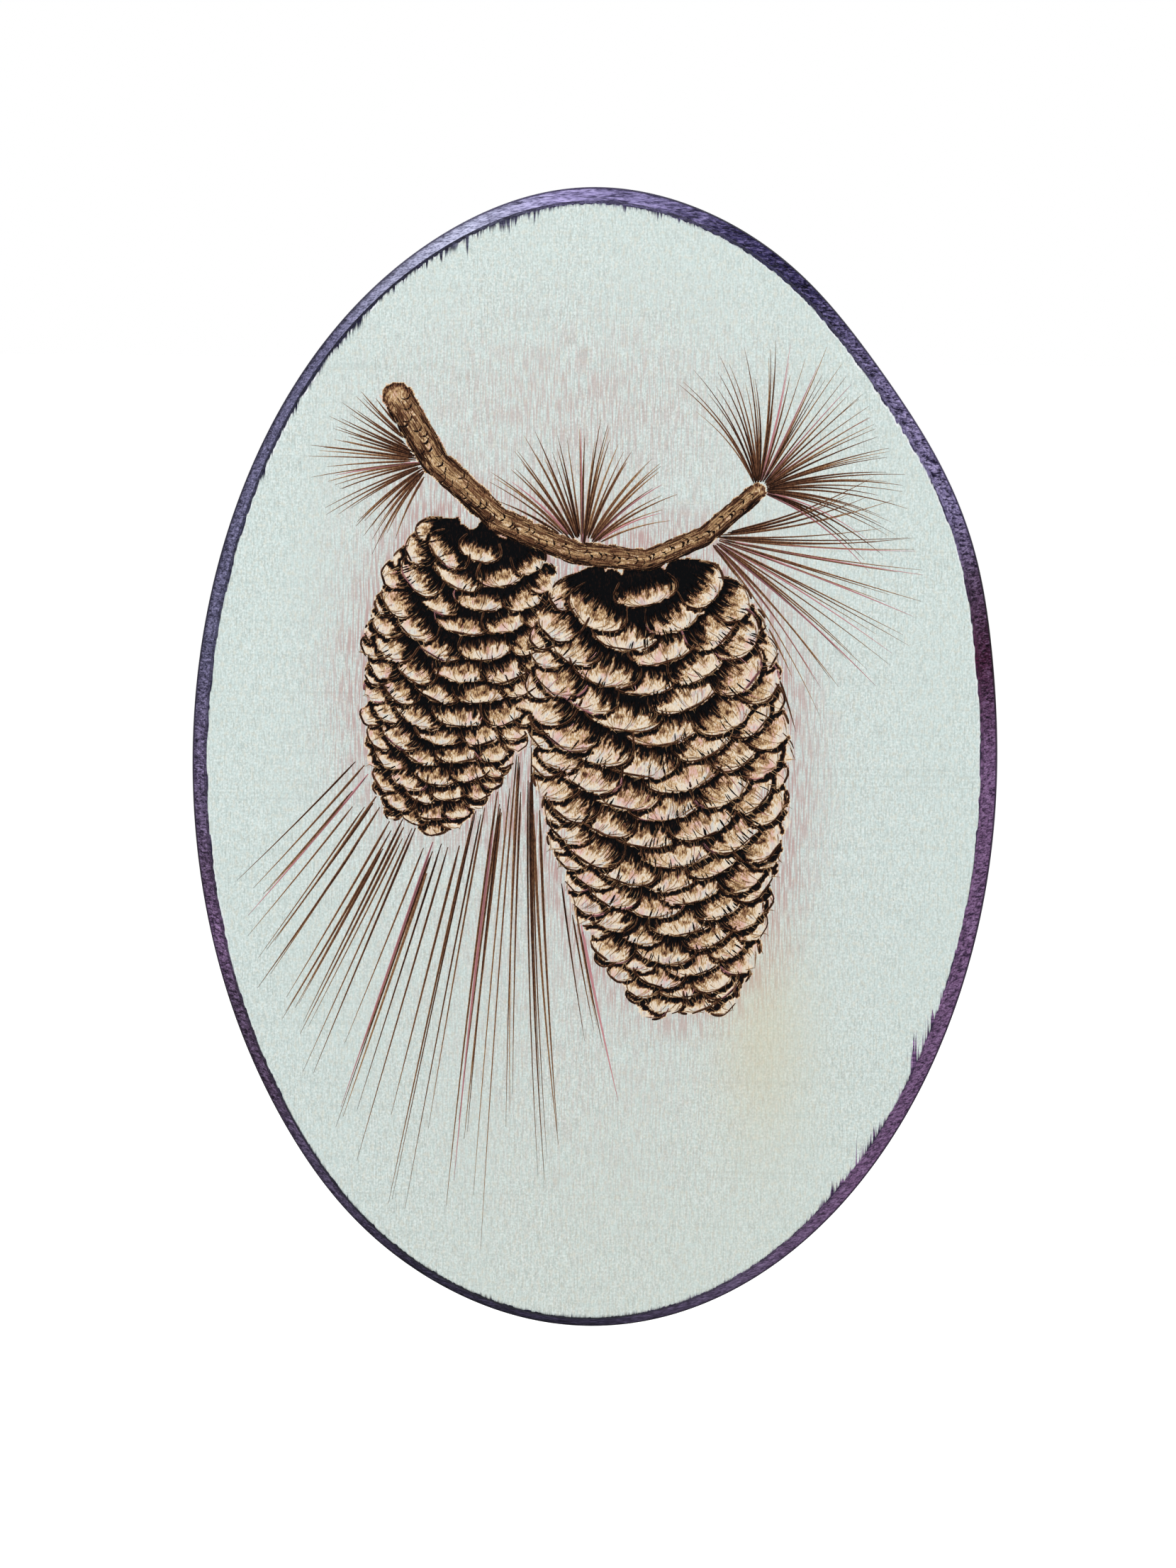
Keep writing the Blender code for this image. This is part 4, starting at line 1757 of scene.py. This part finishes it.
@dataclass
class Hanger:
    """The sawtooth strip and its two brads."""

    strip: float = 0.8 * MM
    ramp: float = 1.6 * MM
    bar_half: float = 14.5 * MM
    pitch: float = 3.2 * MM
    notches: int = 3
    tooth: float = 1.5 * MM
    arris: float = 0.14 * MM

    def build(self, steel: bpy.types.Material) -> bpy.types.Object:
        """Makes the strip.

        Args:
            steel: Its material.

        Returns:
            The object.
        """
        low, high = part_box("sawtooth_hanger")
        columns = self.columns(low, high)
        verts = []
        for x, lower, upper, y in columns:
            corners = ((y, lower), (y, upper), (y + self.strip, upper), (y + self.strip, lower))
            verts += [(x, *corner) for corner in corners]
        faces = [(0, 1, 2, 3), *pile(len(columns), 4)]
        piece = add_piece("hanger_strip", np.array(verts), faces, steel)
        soften = piece.modifiers.new("arris", "BEVEL")
        soften.width, soften.segments, soften.limit_method = self.arris, 2, "ANGLE"
        soften.angle_limit = math.radians(50)
        piece.data.set_sharp_from_angle(angle=math.radians(35))
        return piece

    def columns(self, low: Vector, high: Vector) -> list:
        """The strip's columns from left to right: teeth in the middle, and a foot with a round end each side.

        Args:
            low: The lowest corner of the strip's box.
            high: The highest.

        Returns:
            (x, lower z, upper z, the inner side's y) of each.
        """
        middle, corner = (low.z + high.z) / 2, (high.z - low.z) / 2
        raised, foot = high.y - self.strip, low.y
        half = []
        for i in range(self.notches + 1):
            half.append((i * self.pitch, low.z + self.tooth))
            half.append(((i + 0.5) * self.pitch, low.z))
        half.append((self.bar_half, low.z))
        columns = [(x, z, high.z, raised) for x, z in half]
        for share in (0.25, 0.5, 0.75, 1.0):
            y = raised + (foot - raised) * smoothstep(0, 1, share)
            columns.append((self.bar_half + self.ramp * share, low.z, high.z, y))
        for turn in np.radians(np.linspace(0, 84, 15)):
            rise = corner * math.cos(turn)
            columns.append((high.x - corner + corner * math.sin(turn), middle - rise, middle + rise, foot))
        return [(-x, lower, upper, y) for x, lower, upper, y in reversed(columns[1:])] + columns


# ---------------------------------------------------------------- the studio


@dataclass(frozen=True)
class Lamp:
    """A soft square light that faces the plaque."""

    name: str
    offset: tuple  # its place from the plaque's middle, in metres
    size: float
    power: float  # in watts
    color: str

    def hang(self, centre: Vector) -> None:
        """Hangs it.

        Args:
            centre: The plaque's middle.
        """
        data = bpy.data.lights.new(self.name, "AREA")
        data.shape, data.size, data.energy = "SQUARE", self.size, self.power
        data.color = linear(self.color)[:3]
        lamp = bpy.data.objects.new(self.name, data)
        bpy.context.collection.objects.link(lamp)
        lamp.location = centre + Vector(self.offset)
        lamp.rotation_euler = (-Vector(self.offset)).to_track_quat("-Z", "Y").to_euler()


@dataclass(frozen=True)
class Studio:
    """A white sweep of light round the plaque, a pale floor below it, and the camera."""

    distance: float = 0.95
    elevation: float = 4.5
    azimuth: float = 1.75
    frame_height: float = 244.8 * MM  # what the view's height takes in at the plaque
    aim: tuple = (-0.83 * MM, -3.1 * MM)  # from the plaque's centre to the view's
    roll: float = 0.67
    floor_drop: float = 0.12
    lamps: tuple = (
        Lamp("key", (-0.6, -0.83, 1.18), 0.69, 22.6, "#fbfdff"),
        Lamp("fill", (1.3, -0.8, 0.05), 0.9, 9.0, "#fff6f8"),
        Lamp("back", (0.5, 1.3, 0.9), 0.9, 5.0, "#ffffff"),
    )

    def build(self, board: Board) -> None:
        """Makes the floor, the lights, the world and the camera.

        Args:
            board: The board that they are set round.
        """
        x, z = board.centre
        centre = Vector((x, (board.face_y + board.back_y) / 2, z))
        self.floor(centre - Vector((0, 0, board.height / 2 + self.floor_drop)))
        self.world()
        for lamp in self.lamps:
            lamp.hang(centre)
        self.camera(centre)

    def floor(self, place: Vector) -> None:
        """Lays a plain pale floor, lit a little from below like a light table.

        Args:
            place: Its middle.
        """
        bpy.ops.mesh.primitive_plane_add(size=60, location=place)
        plane = bpy.context.object
        plane.name = "floor"
        g = Surface("frosted white floor", 0.8, specular=0.1)
        g.shader.inputs["Emission Color"].default_value = linear("#ffffff")
        g.shader.inputs["Emission Strength"].default_value = 0.55
        tooth = g.add(Node.NOISE, size=(1.5, 1.5, 1.5))
        plane.data.materials.append(g.finish(g.add(Node.MIX, tooth, "#f4f4f3", "#f8f8f7")))
        plane.visible_diffuse = plane.visible_glossy = False  # it doesn't light the plaque from below

    def world(self) -> None:
        """Lights everything softly; what the camera sees of it is plain white."""
        world = bpy.data.worlds.new("studio")
        bpy.context.scene.world = world
        world.use_nodes = True
        shine = world.node_tree.nodes["Background"]
        shine.inputs["Color"].default_value = linear("#ffffff")
        g = Graph(world.node_tree)
        level = g.add(Node.EASE, g.add(Node.RAY), 0.0, 1.0, 0.5, 1.0)
        g.tree.links.new(level, shine.inputs["Strength"])
        bpy.context.scene.view_settings.view_transform = "Standard"

    def camera(self, centre: Vector) -> None:
        """Sets the camera in front, a little above and to the right.

        Args:
            centre: The plaque's middle.
        """
        turn, rise = math.radians(self.azimuth), math.radians(self.elevation)
        back = Vector((math.sin(turn) * math.cos(rise), -math.cos(turn) * math.cos(rise), math.sin(rise)))
        data = bpy.data.cameras.new("camera")
        data.sensor_width = 36.0
        data.lens = data.sensor_width * self.distance / self.frame_height
        camera = bpy.data.objects.new("camera", data)
        bpy.context.collection.objects.link(camera)
        aim = centre + Vector((self.aim[0], 0, self.aim[1]))
        camera.location = aim + back * self.distance
        camera.rotation_euler = (-back).to_track_quat("-Z", "Y").to_euler()
        camera.rotation_euler.rotate_axis("Z", math.radians(self.roll))
        bpy.context.scene.camera = camera


# ---------------------------------------------------------------- the whole


def place_piece(piece: bpy.types.Object, slot: str, *nodes: str) -> None:
    """Fixes a piece to the plaque.

    Args:
        piece: The piece.
        slot: The name of a material slot in the record; not used.
        nodes: The model's nodes that it stands for.
    """
    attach(piece, "root")
    if nodes:
        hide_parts(*nodes)
    LOG.info("%s: %d faces", piece.name, len(piece.data.polygons))


def main() -> None:
    """Builds the plaque's pieces, from the face to the hanger, and the studio."""
    logging.basicConfig(level=logging.INFO, format="%(name)s: %(message)s")
    board, drawing, burn = Board(), Drawing(), BurnFinish()
    face = FaceVeneer().build(board, drawing.canvas, FaceFinish().build(burn))
    place_piece(face, "face_wood", "face_veneer")
    place_piece(CorePly().build(board, CoreFinish().build()), "core_wood", "core_ply")
    place_piece(BackVeneer().build(board, BackFinish().build()), "back_wood", "back_veneer")
    stroked = burn.stroke()
    for layer, strokes in enumerate(drawing.sets):
        place_piece(strokes.build(board, drawing.canvas, stroked, layer), "face_wood")
    place_piece(Hanger().build(SteelFinish().build()), "hanger_steel", "sawtooth_hanger")
    brass = BrassFinish().build()
    for side in ("left", "right"):
        brad = bpy.data.objects[f"hanger_brad_{side}"]
        brad.material_slots[0].material = brass
    Studio().build(board)


if __name__ == "__main__":
    main()
